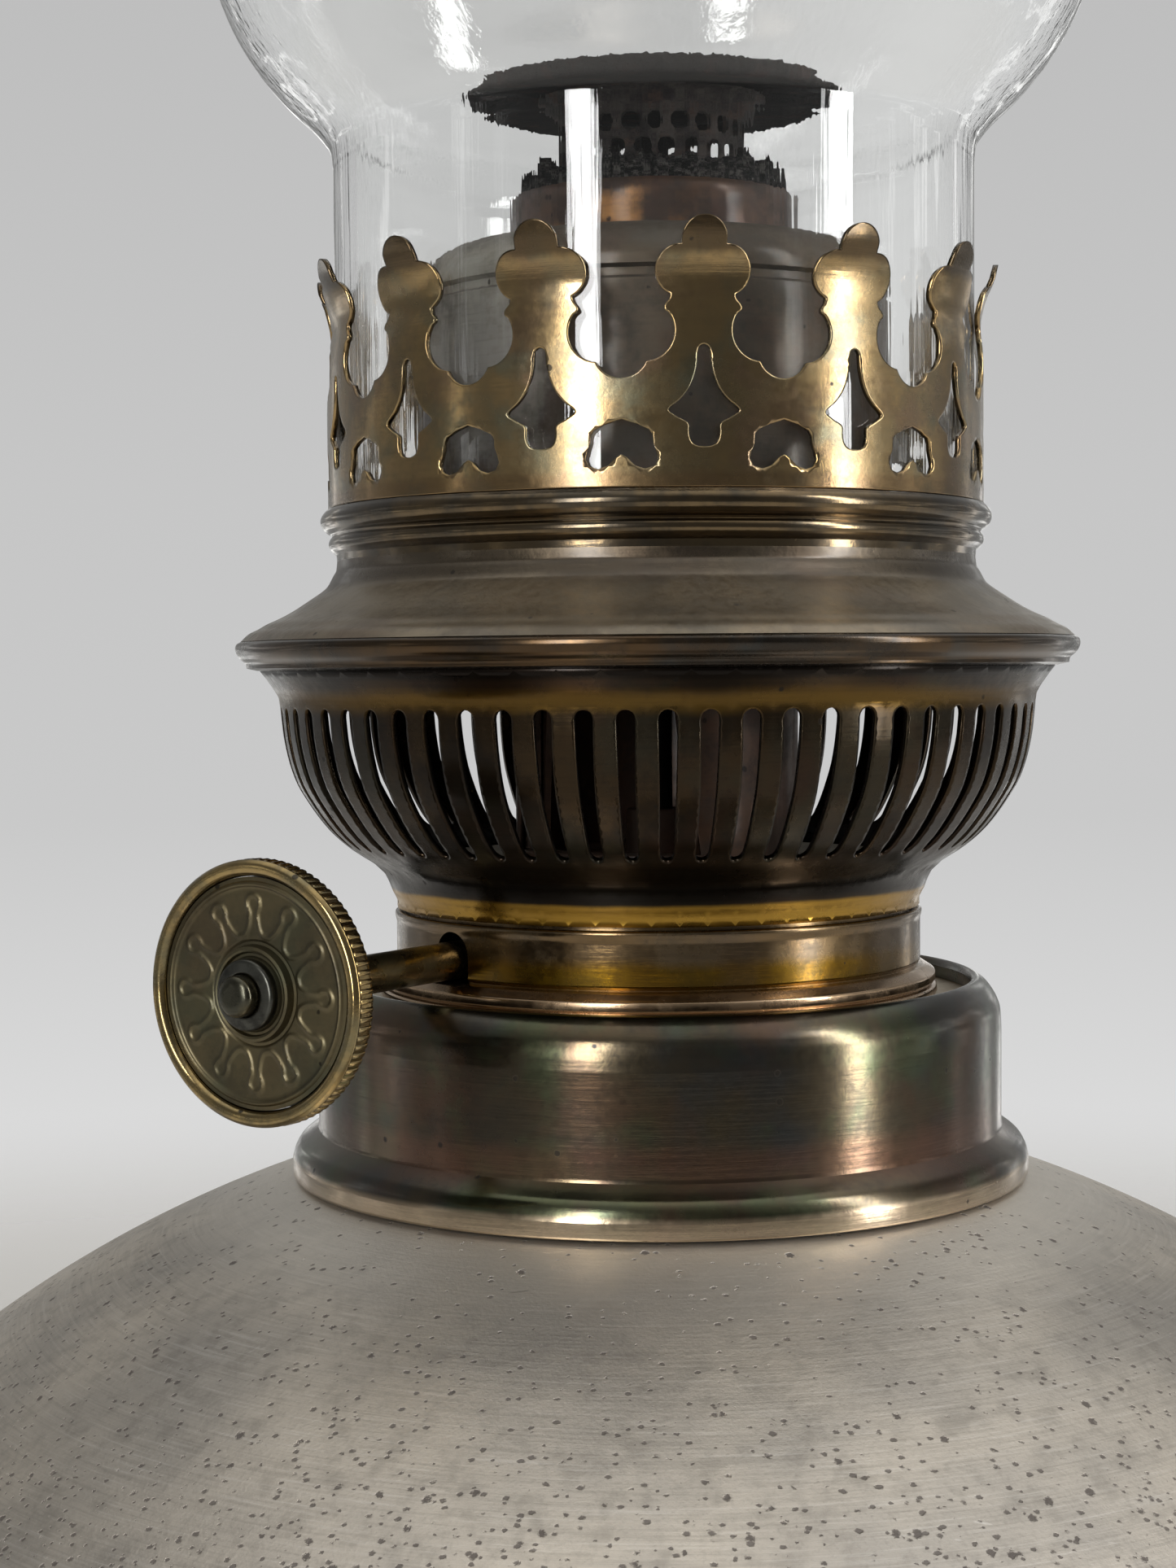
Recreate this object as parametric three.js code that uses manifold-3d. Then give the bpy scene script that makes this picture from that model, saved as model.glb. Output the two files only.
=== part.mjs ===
// Pewter table lamp that burns kerosene through a round wick under a flame disc.
// Millimetres, +Z up. The origin is the middle of the foot's resting face, and the burner's axis is Z.
import * as THREE from "three";
import { ConvexGeometry } from "three/addons/geometries/ConvexGeometry.js";
import { mergeVertices } from "three/addons/utils/BufferGeometryUtils.js";
import Module from "manifold-3d";

const wasm = await Module();
wasm.setup();

// Fits
const clearance = 0.3; // between pieces that touch or are soldered on the real lamp
const liftClearance = 0.5; // round the pieces that the gallery is lifted over
const cutOverrun = 2; // how far a cutting body reaches past what it cuts
const weldDistance = 0.0001; // vertices nearer than this are one

// Facets round the axis
const fountFacets = 28;
const burnerFacets = 28;
const hiddenRingFacets = 20;
const tubeFacets = 24;
const smallFacets = 10;

// Fount, a spun pewter bowl on a spreading foot
const pewterWall = 1.8;
const footRadius = 60;
const footHeight = 27;
const footEdgeHeight = 7;
const footEdgeRound = 1.6;
const footEdgeStep = 4;
const footRestWidth = 7;
const footHollowDegrees = 75; // how far the hollow's curve goes round
const footNeckRadius = 33;
const footNeckBand = 5;
const bellyRadius = 80;
const bellyHeight = 77.5;
const bellyCurveRadius = 40.4;
const domeCurveRadius = 101;
const neckHoleRadius = 24.9;

// Collar on the fount
const collarRadius = 28.7;
const collarHeight = 16.1;
const collarWall = 0.8;
const collarLipFlare = 2.2;
const collarLipHeight = 4;
const collarFlareBendShare = 0.6; // where the lip's flare bends, of its reach and of its height
const collarTopRun = 2.1;
const collarTopRise = 3.6;
const collarTopRoll = 0.5;
const collarLedgeDepth = 1.6;
const threadRingWall = 3.1;
const threadRingFlange = 2.6;
const threadRingFlangeHeight = 1;
const threadRingLedgeThickness = 0.8;
const threadRingDrop = 5.5;

// Burner base, with the notch for the spindle
const baseRingRadius = 22;
const baseRingHeight = 5.1;
const baseFlangeProud = 1.4;
const baseFlangeHeight = 2.2;
const baseFlangeStepShare = 0.45; // of the flange's reach and of its height
const baseUpstandHeight = 2.9;
const baseRingWall = 1.3;
const threadSkirtWall = 1.4;
const threadSkirtLength = 13.5;
const threadSkirtRise = 1.9;
const floorPlateThickness = 0.7;
const notchWidth = 3.8;
const notchHeight = 4.2;

// Air basket under the rim
const basketHeight = 19.4;
const basketTopRadius = 33.1;
const basketSheet = 0.5;
const slotCount = 64;
const slotTopWidth = 1.45;
const slotFootWidth = 1.1;
const slotTopShare = 0.856; // of the basket's height
const slotFootShare = 0.252; // of the basket's height
// Each pair is a share of the way from the neck radius to the top radius, and of the height.
const basketShares = [
  [0, 0],
  [0.07, 0.12],
  [0.3, 0.23],
  [0.7, 0.5],
  [0.85, 0.87],
  [1, 1],
];
const slotBendLevel = 3; // the basket level at which each rib between two slots bends
const slotBendShare = 0.5; // how far the slot has widened at the bend, from foot width to top width

// Rim, cone and bead of the gallery
const rimRadius = 35.1;
const rimHeight = 2.1;
const rimWidth = 2.5;
const rimUndercut = 0.8;
// Each pair is a share of the undercut, inwards from the rim's widest, and of the rim's height.
const rimRollShares = [
  [1, 0],
  [0.25, 0.4],
  [0, 0.75],
  [0.5, 1],
];
const coneHeight = 6.1;
const coneSheet = 0.6;
const coneRimInset = 0.5;
const coneSpigotDepth = 1.5;
// Each pair is a share of the way from the top radius to the foot radius, and of the height.
const coneShares = [
  [1, 0],
  [0.825, 0.131],
  [0.43, 0.393],
  [0.1375, 0.656],
  [0, 1],
];
const beadHeight = 4.2;
const beadProud = 0.65;
// Shares of the bead ring's height: the plain foot's top, the small bead, the groove, the large bead.
const beadFootShare = 0.18;
const smallBeadShare = 0.34;
const beadGrooveShare = 0.55;
const largeBeadShare = 0.8;
const smallBeadProudShare = 0.9; // of the large bead's
const seatRingThickness = 0.7;

// Crown whose spring fingers hold the glass
const crownSheet = 0.45;
const crownHeight = 19.65;
const crownFlare = 1.25;
// Each pair is a share of the crown's height and of its flare.
const crownFlareShares = [
  [0, 0],
  [0.72, 0],
  [0.86, 0.45],
  [1, 1],
];
const fingerCount = 14;
const fingerTurnDegrees = 6.2; // from the front to the middle of the nearest finger
// Each pair is a share of half the pitch, counted from a finger's middle, and of the crown's height.
const fingerEdgeShares = [
  [1, 0.407],
  [0.8, 0.43],
  [0.76, 0.468],
  [0.5, 0.495],
  [0.355, 0.58],
  [0.47, 0.667],
  [0.395, 0.715],
  [0.584, 0.795],
  [0.53, 0.86],
  [0.27, 0.89],
  [0.24, 0.95],
  [0, 1],
];
const spadeHoleShares = [
  [0, 0.519],
  [0.12, 0.42],
  [0.435, 0.29],
  [0.185, 0.232],
  [0.12, 0.165],
  [0, 0.15],
];
const heartHoleShares = [
  [1, 0.12],
  [0.78, 0.069],
  [0.6, 0.11],
  [0.62, 0.185],
  [1, 0.249],
];
const crownEdgeShare = 0.5; // of a pitch: a wider edge is split so that the crown stays round

// Glass chimney
const chimneyBaseRadius = 26.55;
const chimneyBulgeRadius = 37.6;
const chimneyTubeRadius = 20.5;
const chimneyWall = 1.5;
const chimneyBaseHeight = 28.4;
const chimneyBulgeHeight = 53;
const chimneyTubeHeight = 168;
const chimneyBulgeLead = 2; // straight glass at each end of the bulge, up to the foot and to the tube
// Each pair is a share of the way from the base radius to the bulge radius, and of the bulge's height.
const chimneyRiseShares = [
  [0, 0],
  [0.2, 0.06],
  [0.6, 0.155],
  [0.95, 0.34],
];
// Each pair is a share of the way from the tube radius to the bulge radius, and of the bulge's height.
const chimneyFallShares = [
  [1, 0.47],
  [0.84, 0.64],
  [0.4, 0.82],
  [0.1, 0.93],
  [0, 1],
];

// Wick, its two tubes and the air window
const wickTubeRadius = 11.9;
const wickTubeWall = 0.5;
const wickTubeRise = 25.2;
const wickTubeDrop = 8;
const wickThickness = 1.2;
const wickShow = 1.5;
const wickTailClearance = 20;
const wickTravelDown = 12;
const draftTubeWall = 0.5;
const draftFloorDrop = 1.6;
const windowSillHeight = 0.9;
const windowHeight = 17;
const windowHalfDegrees = 49;
const windowTopHalfDegrees = 37;
const windowFrameDegrees = 4;
const wickGapDegrees = 2.5;
const windowFrameWall = 0.6;

// Air deflector drum round the wick tube
const drumRadius = 19.6;
const drumRise = 21.1;
const drumSheet = 0.5;
const drumShoulderHeight = 4.3;
const drumShoulderRun = 4.6;

// Flame spreader
const discRadius = 15.7;
const discRise = 9.2;
const discDome = 0.6;
const discThickness = 1;
const discEdgeUndercut = 0.25;
const discBrowShare = 0.85; // of the radius, where the dome turns down to the edge
const discBrowRiseShare = 0.6; // of the dome's height
const thimbleRadius = 7.8;
const thimbleSheet = 0.4;
const thimbleLength = 15;
const thimbleFlare = 1.7;
const thimbleFlareHeight = 1.6;
const thimbleHoleCount = 24;
const thimbleHoleWidth = 1.5;
const thimbleFirstRowDrop = 3.9;
const thimbleRowPitch = 2.1;
const stemRadius = 1.3;
const socketWall = 1;
const socketHeight = 4;

// Wick winder
const spindleTurnDegrees = 33.1; // from the front to the side that the spindle points to
const spindleOffset = 6.16;
const spindleRise = 1.94;
const spindleRadius = 1.5;
const spindleJournalRadius = 1.2;
const spindleShoulderPlace = 8;
const wickWheelPlace = 2.4;
const wickWheelThickness = 1.2;
const wickWheelTeeth = 12;
const wickWheelToothDepth = 0.5;
const bracketReach = 4.6;
const bracketThickness = 0.7;
const bracketWidth = 4.2;
const glandWall = 0.8;
const glandReach = 14.5;
const knobReach = 45.4;
const knobRadius = 9.7;
const knobThickness = 2.2;
const knobRimWidth = 1.3;
// Each pair is a share of the rim's width, inwards from its edge, and of its thickness.
const knobRimShares = [
  [1, 0],
  [0.25, 0],
  [0, 0.25],
  [0, 0.75],
  [0.33, 1],
  [1, 0.8],
];
const knobDiscSetBack = 0.5;
const knobDiscThickness = 0.9;
const knobBossRadius = 3.2;
const knobBossHeight = 0.5;
const knobHubRadius = 2.7;
const knobHubLength = 2.4;
const knobNutWall = 0.8;
const knobNutHeight = 0.6;
const spindleEndProud = 2.1;
const spindleEndRound = 0.4;

// Colours and finishes
const finishes = {
  pewter: { color: 0x8f8b84, roughness: 0.42, metalness: 0.9 },
  darkBrass: { color: 0x4c463b, roughness: 0.3, metalness: 0.95 },
  agedBrass: { color: 0x7d7347, roughness: 0.38, metalness: 0.95 },
  basketBrass: { color: 0x6f5a3c, roughness: 0.4, metalness: 0.95 },
  coneBrass: { color: 0x9a8f80, roughness: 0.35, metalness: 0.95 },
  copper: { color: 0x7a5034, roughness: 0.5, metalness: 0.8 },
  sooty: { color: 0x2d2724, roughness: 0.8, metalness: 0.4 },
  glass: { color: 0xdfe6e8, roughness: 0.05, metalness: 0 },
  wick: { color: 0xd8d0bd, roughness: 0.95, metalness: 0 },
  knobBrass: { color: 0xa88a50, roughness: 0.32, metalness: 0.95 },
};

// Heights that follow from the sizes above, from the foot up
const bellyCentreRadius = bellyRadius - bellyCurveRadius;
const centreDistance = domeCurveRadius - bellyCurveRadius;
const domeCentreZ = bellyHeight - Math.sqrt(centreDistance ** 2 - bellyCentreRadius ** 2);
const shoulderZ = (radius) => domeCentreZ + Math.sqrt(domeCurveRadius ** 2 - radius ** 2);
const bowlFloorZ = footHeight + clearance;
const collarLipRadius = collarRadius + collarLipFlare;
const collarLipZ = shoulderZ(collarLipRadius) + clearance;
const collarTopZ = collarLipZ + collarHeight;
const threadRingFlangeZ = shoulderZ(neckHoleRadius) + clearance;
const threadRingTopZ = collarTopZ - collarLedgeDepth;
const baseFlangeZ = threadRingTopZ + clearance;
const baseFlangeTopZ = baseFlangeZ + baseFlangeHeight;
const baseRingTopZ = baseFlangeTopZ + baseRingHeight;
const baseUpstandTopZ = baseRingTopZ + baseUpstandHeight;
const floorPlateZ = baseUpstandTopZ + clearance;
const floorPlateTopZ = floorPlateZ + floorPlateThickness;
const basketZ = baseRingTopZ + clearance;
const basketTopZ = basketZ + basketHeight;
const rimZ = basketTopZ + clearance;
const rimTopZ = rimZ + rimHeight;
const coneZ = rimTopZ + clearance;
const coneTopZ = coneZ + coneHeight;
const beadZ = coneTopZ + clearance;
const beadTopZ = beadZ + beadHeight;
const crownZ = beadTopZ + clearance;
const seatRingZ = beadTopZ - seatRingThickness;
const chimneyZ = beadTopZ + clearance;
const chimneyBulgeZ = chimneyZ + chimneyBaseHeight;
const chimneyTubeZ = chimneyBulgeZ + chimneyBulgeHeight;
const drumTopZ = crownZ + drumRise;
const wickTubeTopZ = crownZ + wickTubeRise;
const windowZ = floorPlateTopZ + windowSillHeight;
const windowTopZ = windowZ + windowHeight;
const draftFloorZ = windowZ - draftFloorDrop;
const spindleZ = baseFlangeTopZ + spindleRise;
const wickTubeZ = spindleZ - wickTubeDrop;
const wickTopZ = wickTubeTopZ + wickShow;
const wickTailZ = bowlFloorZ + pewterWall + wickTailClearance;
const wickClosedZ = windowTopZ + windowFrameWall + wickTravelDown + clearance;
const discEdgeZ = wickTubeTopZ + discRise;

// Radii that follow, from the glass and the wick tube outwards
const crownInnerRadius = chimneyBaseRadius + clearance;
const crownOuterRadius = crownInnerRadius + crownSheet;
const beadInnerRadius = crownInnerRadius - beadProud;
const coneTopRadius = crownOuterRadius - beadProud;
const coneFootRadius = rimRadius - coneRimInset;
const rimInnerRadius = rimRadius - rimWidth;
const basketNeckRadius = baseRingRadius;
const baseUpstandRadius = basketNeckRadius - basketSheet - clearance;
const baseBoreRadius = baseRingRadius - baseRingWall;
const threadSkirtRadius = baseBoreRadius - clearance;
const threadBoreRadius = threadSkirtRadius + clearance;
const threadRingRadius = threadBoreRadius + threadRingWall;
const collarCrestRadius = collarRadius - collarTopRun;
const collarHookRadius = collarCrestRadius - collarTopRoll;
const baseFlangeRadius = baseRingRadius + baseFlangeProud;
const wickTubeBore = wickTubeRadius - wickTubeWall;
const wickOuterRadius = wickTubeBore - clearance;
const wickInnerRadius = wickOuterRadius - wickThickness;
const draftTubeRadius = wickInnerRadius - clearance;
const draftTubeBore = draftTubeRadius - draftTubeWall;

const degrees = THREE.MathUtils.degToRad;
const frontTurn = -degrees(90);
const spindleTurn = frontTurn - degrees(spindleTurnDegrees);

const mix = (from, to, share) => from + (to - from) * share;

// Points on an arc of a circle or an ellipse, from one angle to another, both in degrees.
function arc(centre, radiusAcross, radiusUp, from, to, steps) {
  return Array.from({ length: steps + 1 }, (_, i) => {
    const angle = degrees(mix(from, to, i / steps));
    return [centre[0] + radiusAcross * Math.cos(angle), centre[1] + radiusUp * Math.sin(angle)];
  });
}

// The path moved sideways, to its left as it runs, by a sheet's thickness.
function moveAside(path, distance) {
  return path.map((point, i) => {
    const before = path[Math.max(i - 1, 0)];
    const after = path[Math.min(i + 1, path.length - 1)];
    const inward = new THREE.Vector2(point[0] - before[0], point[1] - before[1]).normalize();
    const outward = new THREE.Vector2(after[0] - point[0], after[1] - point[1]).normalize();
    const along = inward.add(outward).normalize();
    return [point[0] - along.y * distance, point[1] + along.x * distance];
  });
}

// The closed outline of a sheet that follows a path and is as thick as said on the path's left.
const sheetOutline = (path, thickness) => [...path, ...moveAside(path, thickness).reverse()];

const signedArea = (outline) =>
  THREE.ShapeUtils.area(outline.map(([x, y]) => new THREE.Vector2(x, y)));

// A body of revolution about +Z. An outline that doesn't reach the axis closes on itself.
function revolve(outline, facets) {
  const points = signedArea(outline) < 0 ? [...outline].reverse() : [...outline];
  const onAxis = points.findIndex(([radius], i) => radius === 0 && points.at(i - 1)[0] === 0);
  const ordered = onAxis < 0 ? points : [...points.slice(onAxis), ...points.slice(0, onAxis)];
  if (onAxis < 0) ordered.push(ordered[0]);
  const profile = ordered.map(([radius, z]) => new THREE.Vector2(radius, z));
  return new THREE.LatheGeometry(profile, facets).rotateX(degrees(90));
}

// A tube or ring with square corners.
const ringOutline = (inner, outer, low, high) => [
  [inner, low],
  [outer, low],
  [outer, high],
  [inner, high],
];

// The geometry as a solid that can be cut and joined.
function solidOf(geometry) {
  const bare = geometry.clone();
  bare.deleteAttribute("normal");
  bare.deleteAttribute("uv");
  const merged = mergeVertices(bare, weldDistance);
  const corners = merged.index.array;
  const kept = [];
  for (let i = 0; i < corners.length; i += 3) {
    const [a, b, c] = corners.slice(i, i + 3);
    if (a !== b && b !== c && c !== a) kept.push(a, b, c);
  }
  return new wasm.Manifold(
    new wasm.Mesh({
      numProp: 3,
      vertProperties: Float32Array.from(merged.attributes.position.array),
      triVerts: Uint32Array.from(kept),
    }),
  );
}

function geometryOf(solid) {
  const { vertProperties, triVerts } = solid.getMesh();
  const geometry = new THREE.BufferGeometry();
  geometry.setAttribute("position", new THREE.BufferAttribute(vertProperties, 3));
  geometry.setIndex(new THREE.BufferAttribute(triVerts, 1));
  return geometry;
}

const cut = (geometry, ...tools) =>
  geometryOf(tools.reduce((left, tool) => left.subtract(solidOf(tool)), solidOf(geometry)));

const common = (geometry, tool) => geometryOf(solidOf(geometry).intersect(solidOf(tool)));

// Splits each edge that spans too wide an angle at its middle, until none is left.
function splitWideEdges(points, triangles, widest) {
  const middles = new Map();
  const middleOf = (a, b) => {
    const key = a < b ? `${a} ${b}` : `${b} ${a}`;
    if (Math.abs(points[a][0] - points[b][0]) <= widest) return -1;
    if (!middles.has(key)) {
      middles.set(key, points.length);
      points.push([(points[a][0] + points[b][0]) / 2, (points[a][1] + points[b][1]) / 2]);
    }
    return middles.get(key);
  };
  const split = triangles.flatMap(([a, b, c]) => {
    const corners = [a, b, c];
    const middle = corners.map((corner, i) => middleOf(corner, corners[(i + 1) % 3]));
    const cuts = middle.filter((m) => m >= 0).length;
    if (cuts === 0) return [corners];
    const first = cuts === 1 ? middle.findIndex((m) => m >= 0) : middle.findIndex((m) => m < 0);
    const turn = cuts === 3 ? 0 : first;
    const [p, q, r] = [0, 1, 2].map((i) => corners[(i + turn) % 3]);
    const [pq, qr, rp] = [0, 1, 2].map((i) => middle[(i + turn) % 3]);
    if (cuts === 1) return [[p, pq, r], [pq, q, r]];
    if (cuts === 2) return [[p, q, qr], [p, qr, rp], [rp, qr, r]];
    return [[p, pq, rp], [pq, q, qr], [rp, qr, r], [pq, qr, rp]];
  });
  return middles.size ? splitWideEdges(points, split, widest) : split;
}

// A thin sheet with one cut-out pattern repeated round the axis. Its panels meet where the sheet bends.
// A point of a panel's outline or holes is a share of the pitch, from -0.5 to 0.5, and a height.
// outerAt and innerAt give the faces' radius and height for a point's height.
function wrappedSheet({ copies, panels, outerAt, innerAt, turn = 0, widest = 1 }) {
  const vectors = (loop) => loop.map(([x, y]) => new THREE.Vector2(x, y));
  const cell = [];
  const facing = panels.flatMap(({ outline, holes = [] }) => {
    const first = cell.length;
    cell.push(...outline, ...holes.flat());
    const faces = THREE.ShapeUtils.triangulateShape(vectors(outline), holes.map(vectors));
    return faces.map((face) => {
      const corners = face.map((i) => i + first);
      return signedArea(corners.map((i) => cell[i])) < 0 ? corners.reverse() : corners;
    });
  });
  const split = splitWideEdges(cell, facing, widest);
  const places = [];
  const numbers = new Map();
  const numberOf = (copy, [share, height]) => {
    const round = (((copy + share) % copies) + copies) % copies;
    const step = Math.round(round / weldDistance) % Math.round(copies / weldDistance);
    const key = `${step} ${Math.round(height / weldDistance)}`;
    if (!numbers.has(key)) {
      numbers.set(key, places.length);
      places.push([(round / copies) * 2 * Math.PI + turn, height]);
    }
    return numbers.get(key);
  };
  const skin = Array.from({ length: copies }, (_, copy) =>
    split.map((face) => face.map((i) => numberOf(copy, cell[i]))),
  ).flat();
  const edges = new Set(skin.flatMap(([a, b, c]) => [`${a} ${b}`, `${b} ${c}`, `${c} ${a}`]));
  const behind = places.length;
  const walls = [...edges].flatMap((edge) => {
    const [a, b] = edge.split(" ").map(Number);
    if (edges.has(`${b} ${a}`)) return [];
    return [[a, a + behind, b], [b, a + behind, b + behind]];
  });
  const backs = skin.map(([a, b, c]) => [a + behind, c + behind, b + behind]);
  const positions = [outerAt, innerAt].flatMap((faceAt) =>
    places.flatMap(([angle, height]) => {
      const [radius, z] = faceAt(height);
      return [radius * Math.cos(angle), radius * Math.sin(angle), z];
    }),
  );
  const geometry = new THREE.BufferGeometry();
  geometry.setAttribute("position", new THREE.Float32BufferAttribute(positions, 3));
  geometry.setIndex([...skin, ...backs, ...walls].flat());
  return geometry;
}

// The panel between two rows of points, both from left to right.
const panelBetween = (low, high) => ({ outline: [...low, ...[...high].reverse()] });
const wholeRow = (z) => [[-0.5, z], [0.5, z]];

// A look-up along a path of [radius, z] points by height.
const alongPath = (path, keys) => (height) => {
  const next = keys.findIndex((key, i) => i > 0 && (height <= key || i === keys.length - 1));
  const share = (height - keys[next - 1]) / (keys[next] - keys[next - 1]);
  return [
    mix(path[next - 1][0], path[next][0], share),
    mix(path[next - 1][1], path[next][1], share),
  ];
};

function mesh(name, geometry, finish) {
  const made = new THREE.Mesh(geometry, new THREE.MeshStandardMaterial(finish));
  made.name = name;
  return made;
}

function assembly(...children) {
  const group = new THREE.Group();
  group.add(...children);
  return group;
}

// Foot: a rolled edge, a hollow flare and a short neck.
function foot() {
  const flareFoot = footRadius - footEdgeStep;
  const neckZ = footHeight - footNeckBand;
  const flareCentre = [flareFoot, neckZ];
  const across = flareFoot - footNeckRadius;
  const up = neckZ - footEdgeHeight;
  const edgeRoundPlace = [footRadius - footEdgeRound, footEdgeRound];
  const edgeTopPlace = [footRadius - footEdgeRound, footEdgeHeight - footEdgeRound];
  const inner = [across + pewterWall, up + pewterWall];
  return revolve(
    [
      [footRadius - footRestWidth, 0],
      ...arc(edgeRoundPlace, footEdgeRound, footEdgeRound, -90, 0, 1),
      ...arc(edgeTopPlace, footEdgeRound, footEdgeRound, 0, 90, 1),
      ...arc(flareCentre, across, up, -90, -180, 4),
      [footNeckRadius, footHeight],
      [footNeckRadius - pewterWall, footHeight],
      ...arc(flareCentre, ...inner, -180, footHollowDegrees - 180, 2),
    ],
    fountFacets,
  );
}

function lowerBowl() {
  const centre = [footNeckRadius, bellyHeight - clearance];
  const across = bellyRadius - footNeckRadius;
  const up = centre[1] - bowlFloorZ;
  return revolve(
    [
      [0, bowlFloorZ],
      ...arc(centre, across, up, -90, 0, 5),
      ...arc(centre, across - pewterWall, up - pewterWall, 0, -90, 4),
      [0, bowlFloorZ + pewterWall],
    ],
    fountFacets,
  );
}

// Upper bowl: the belly's curve runs into the wider curve of the shoulder, up to the neck hole.
function upperBowl() {
  const bellyCentre = [bellyCentreRadius, bellyHeight];
  const domeCentre = [0, domeCentreZ];
  const join = THREE.MathUtils.radToDeg(Math.acos(bellyCentreRadius / centreDistance));
  const neckAngle = (radius) => THREE.MathUtils.radToDeg(Math.acos(neckHoleRadius / radius));
  const belly = (radius, ...span) => arc(bellyCentre, radius, radius, ...span);
  const dome = (radius, ...span) => arc(domeCentre, radius, radius, ...span);
  const innerDome = domeCurveRadius - pewterWall;
  return revolve(
    [
      ...belly(bellyCurveRadius, 0, join, 3),
      ...dome(domeCurveRadius, join, neckAngle(domeCurveRadius), 3).slice(1),
      ...dome(innerDome, neckAngle(innerDome), join, 2),
      ...belly(bellyCurveRadius - pewterWall, join, 0, 2).slice(1),
    ],
    fountFacets,
  );
}

// Collar: a sheet ring, flared where it stands on the shoulder and rolled in and down at the top.
function collar() {
  const flareTopZ = collarLipZ + collarLipHeight;
  const flareBend = [
    mix(collarRadius, collarLipRadius, collarFlareBendShare),
    mix(collarLipZ, flareTopZ, collarFlareBendShare),
  ];
  const topCentre = [collarCrestRadius, collarTopZ - collarTopRise];
  const innerWallRadius = collarRadius - collarWall;
  const hookZ = threadRingTopZ + clearance;
  return revolve(
    [
      [collarLipRadius - collarWall, collarLipZ],
      [collarLipRadius, collarLipZ],
      flareBend,
      [collarRadius, flareTopZ],
      ...arc(topCentre, collarTopRun, collarTopRise, 0, 90, 3),
      [collarHookRadius, collarTopZ - collarTopRoll],
      [collarHookRadius, hookZ],
      [collarHookRadius + collarWall, hookZ],
      [collarHookRadius + collarWall, collarTopZ - collarTopRoll - collarWall],
      [innerWallRadius, topCentre[1]],
      [innerWallRadius, flareTopZ],
    ],
    fountFacets,
  );
}

// Thread ring: stands in the neck hole, and its top is the ledge that the burner rests on.
function threadRing() {
  const flangeTopZ = threadRingFlangeZ + threadRingFlangeHeight;
  const neckRadius = neckHoleRadius - clearance;
  const ledgeRadius = collarHookRadius + collarWall / 2;
  const ledgeZ = threadRingTopZ - threadRingLedgeThickness;
  return revolve(
    [
      [threadBoreRadius, threadRingFlangeZ - threadRingDrop],
      [neckRadius, threadRingFlangeZ - threadRingDrop],
      [neckRadius, threadRingFlangeZ],
      [neckRadius + threadRingFlange, threadRingFlangeZ],
      [neckRadius + threadRingFlange, flangeTopZ],
      [threadRingRadius, flangeTopZ],
      [threadRingRadius, ledgeZ],
      [ledgeRadius, ledgeZ],
      [ledgeRadius, threadRingTopZ],
      [threadBoreRadius, threadRingTopZ],
    ],
    fountFacets,
  );
}

// A body of revolution about the spindle, from points of [radius, distance along the spindle].
const revolveAlongSpindle = (outline, facets) =>
  revolve(outline, facets).rotateY(degrees(90)).translate(0, -spindleOffset, spindleZ);

// Base ring: a stepped flange, the band with the spindle's notch and the upstand inside the basket.
function baseRing() {
  const stepZ = mix(baseFlangeZ, baseFlangeTopZ, baseFlangeStepShare);
  const stepRadius = mix(baseRingRadius, baseFlangeRadius, baseFlangeStepShare);
  const ring = revolve(
    [
      [baseBoreRadius, baseFlangeZ],
      [baseFlangeRadius, baseFlangeZ],
      [baseFlangeRadius, stepZ],
      [stepRadius, baseFlangeTopZ],
      [baseRingRadius, baseFlangeTopZ],
      [baseRingRadius, baseRingTopZ],
      [baseUpstandRadius, baseRingTopZ],
      [baseUpstandRadius, baseUpstandTopZ],
      [baseBoreRadius, baseUpstandTopZ],
    ],
    burnerFacets,
  );
  const half = notchWidth / 2;
  const notch = new THREE.Shape();
  notch.moveTo(-half, 0);
  notch.lineTo(half, 0);
  notch.lineTo(half, notchHeight - half);
  notch.absarc(0, notchHeight - half, half, 0, Math.PI);
  const tool = new THREE.ExtrudeGeometry(notch, {
    depth: baseRingRadius + cutOverrun,
    bevelEnabled: false,
    curveSegments: 4,
  });
  tool.rotateX(degrees(90)).rotateZ(degrees(90)).translate(0, -spindleOffset, baseFlangeTopZ);
  return cut(ring.rotateZ(-spindleTurn), tool).rotateZ(spindleTurn);
}

// Thread skirt: screws into the thread ring.
const threadSkirt = () =>
  revolve(
    ringOutline(
      threadSkirtRadius - threadSkirtWall,
      threadSkirtRadius,
      baseFlangeZ + threadSkirtRise - threadSkirtLength,
      baseFlangeZ + threadSkirtRise,
    ),
    fountFacets,
  );

const floorPlate = () =>
  revolve(
    ringOutline(wickTubeRadius + clearance, baseUpstandRadius, floorPlateZ, floorPlateTopZ),
    hiddenRingFacets,
  );

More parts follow.
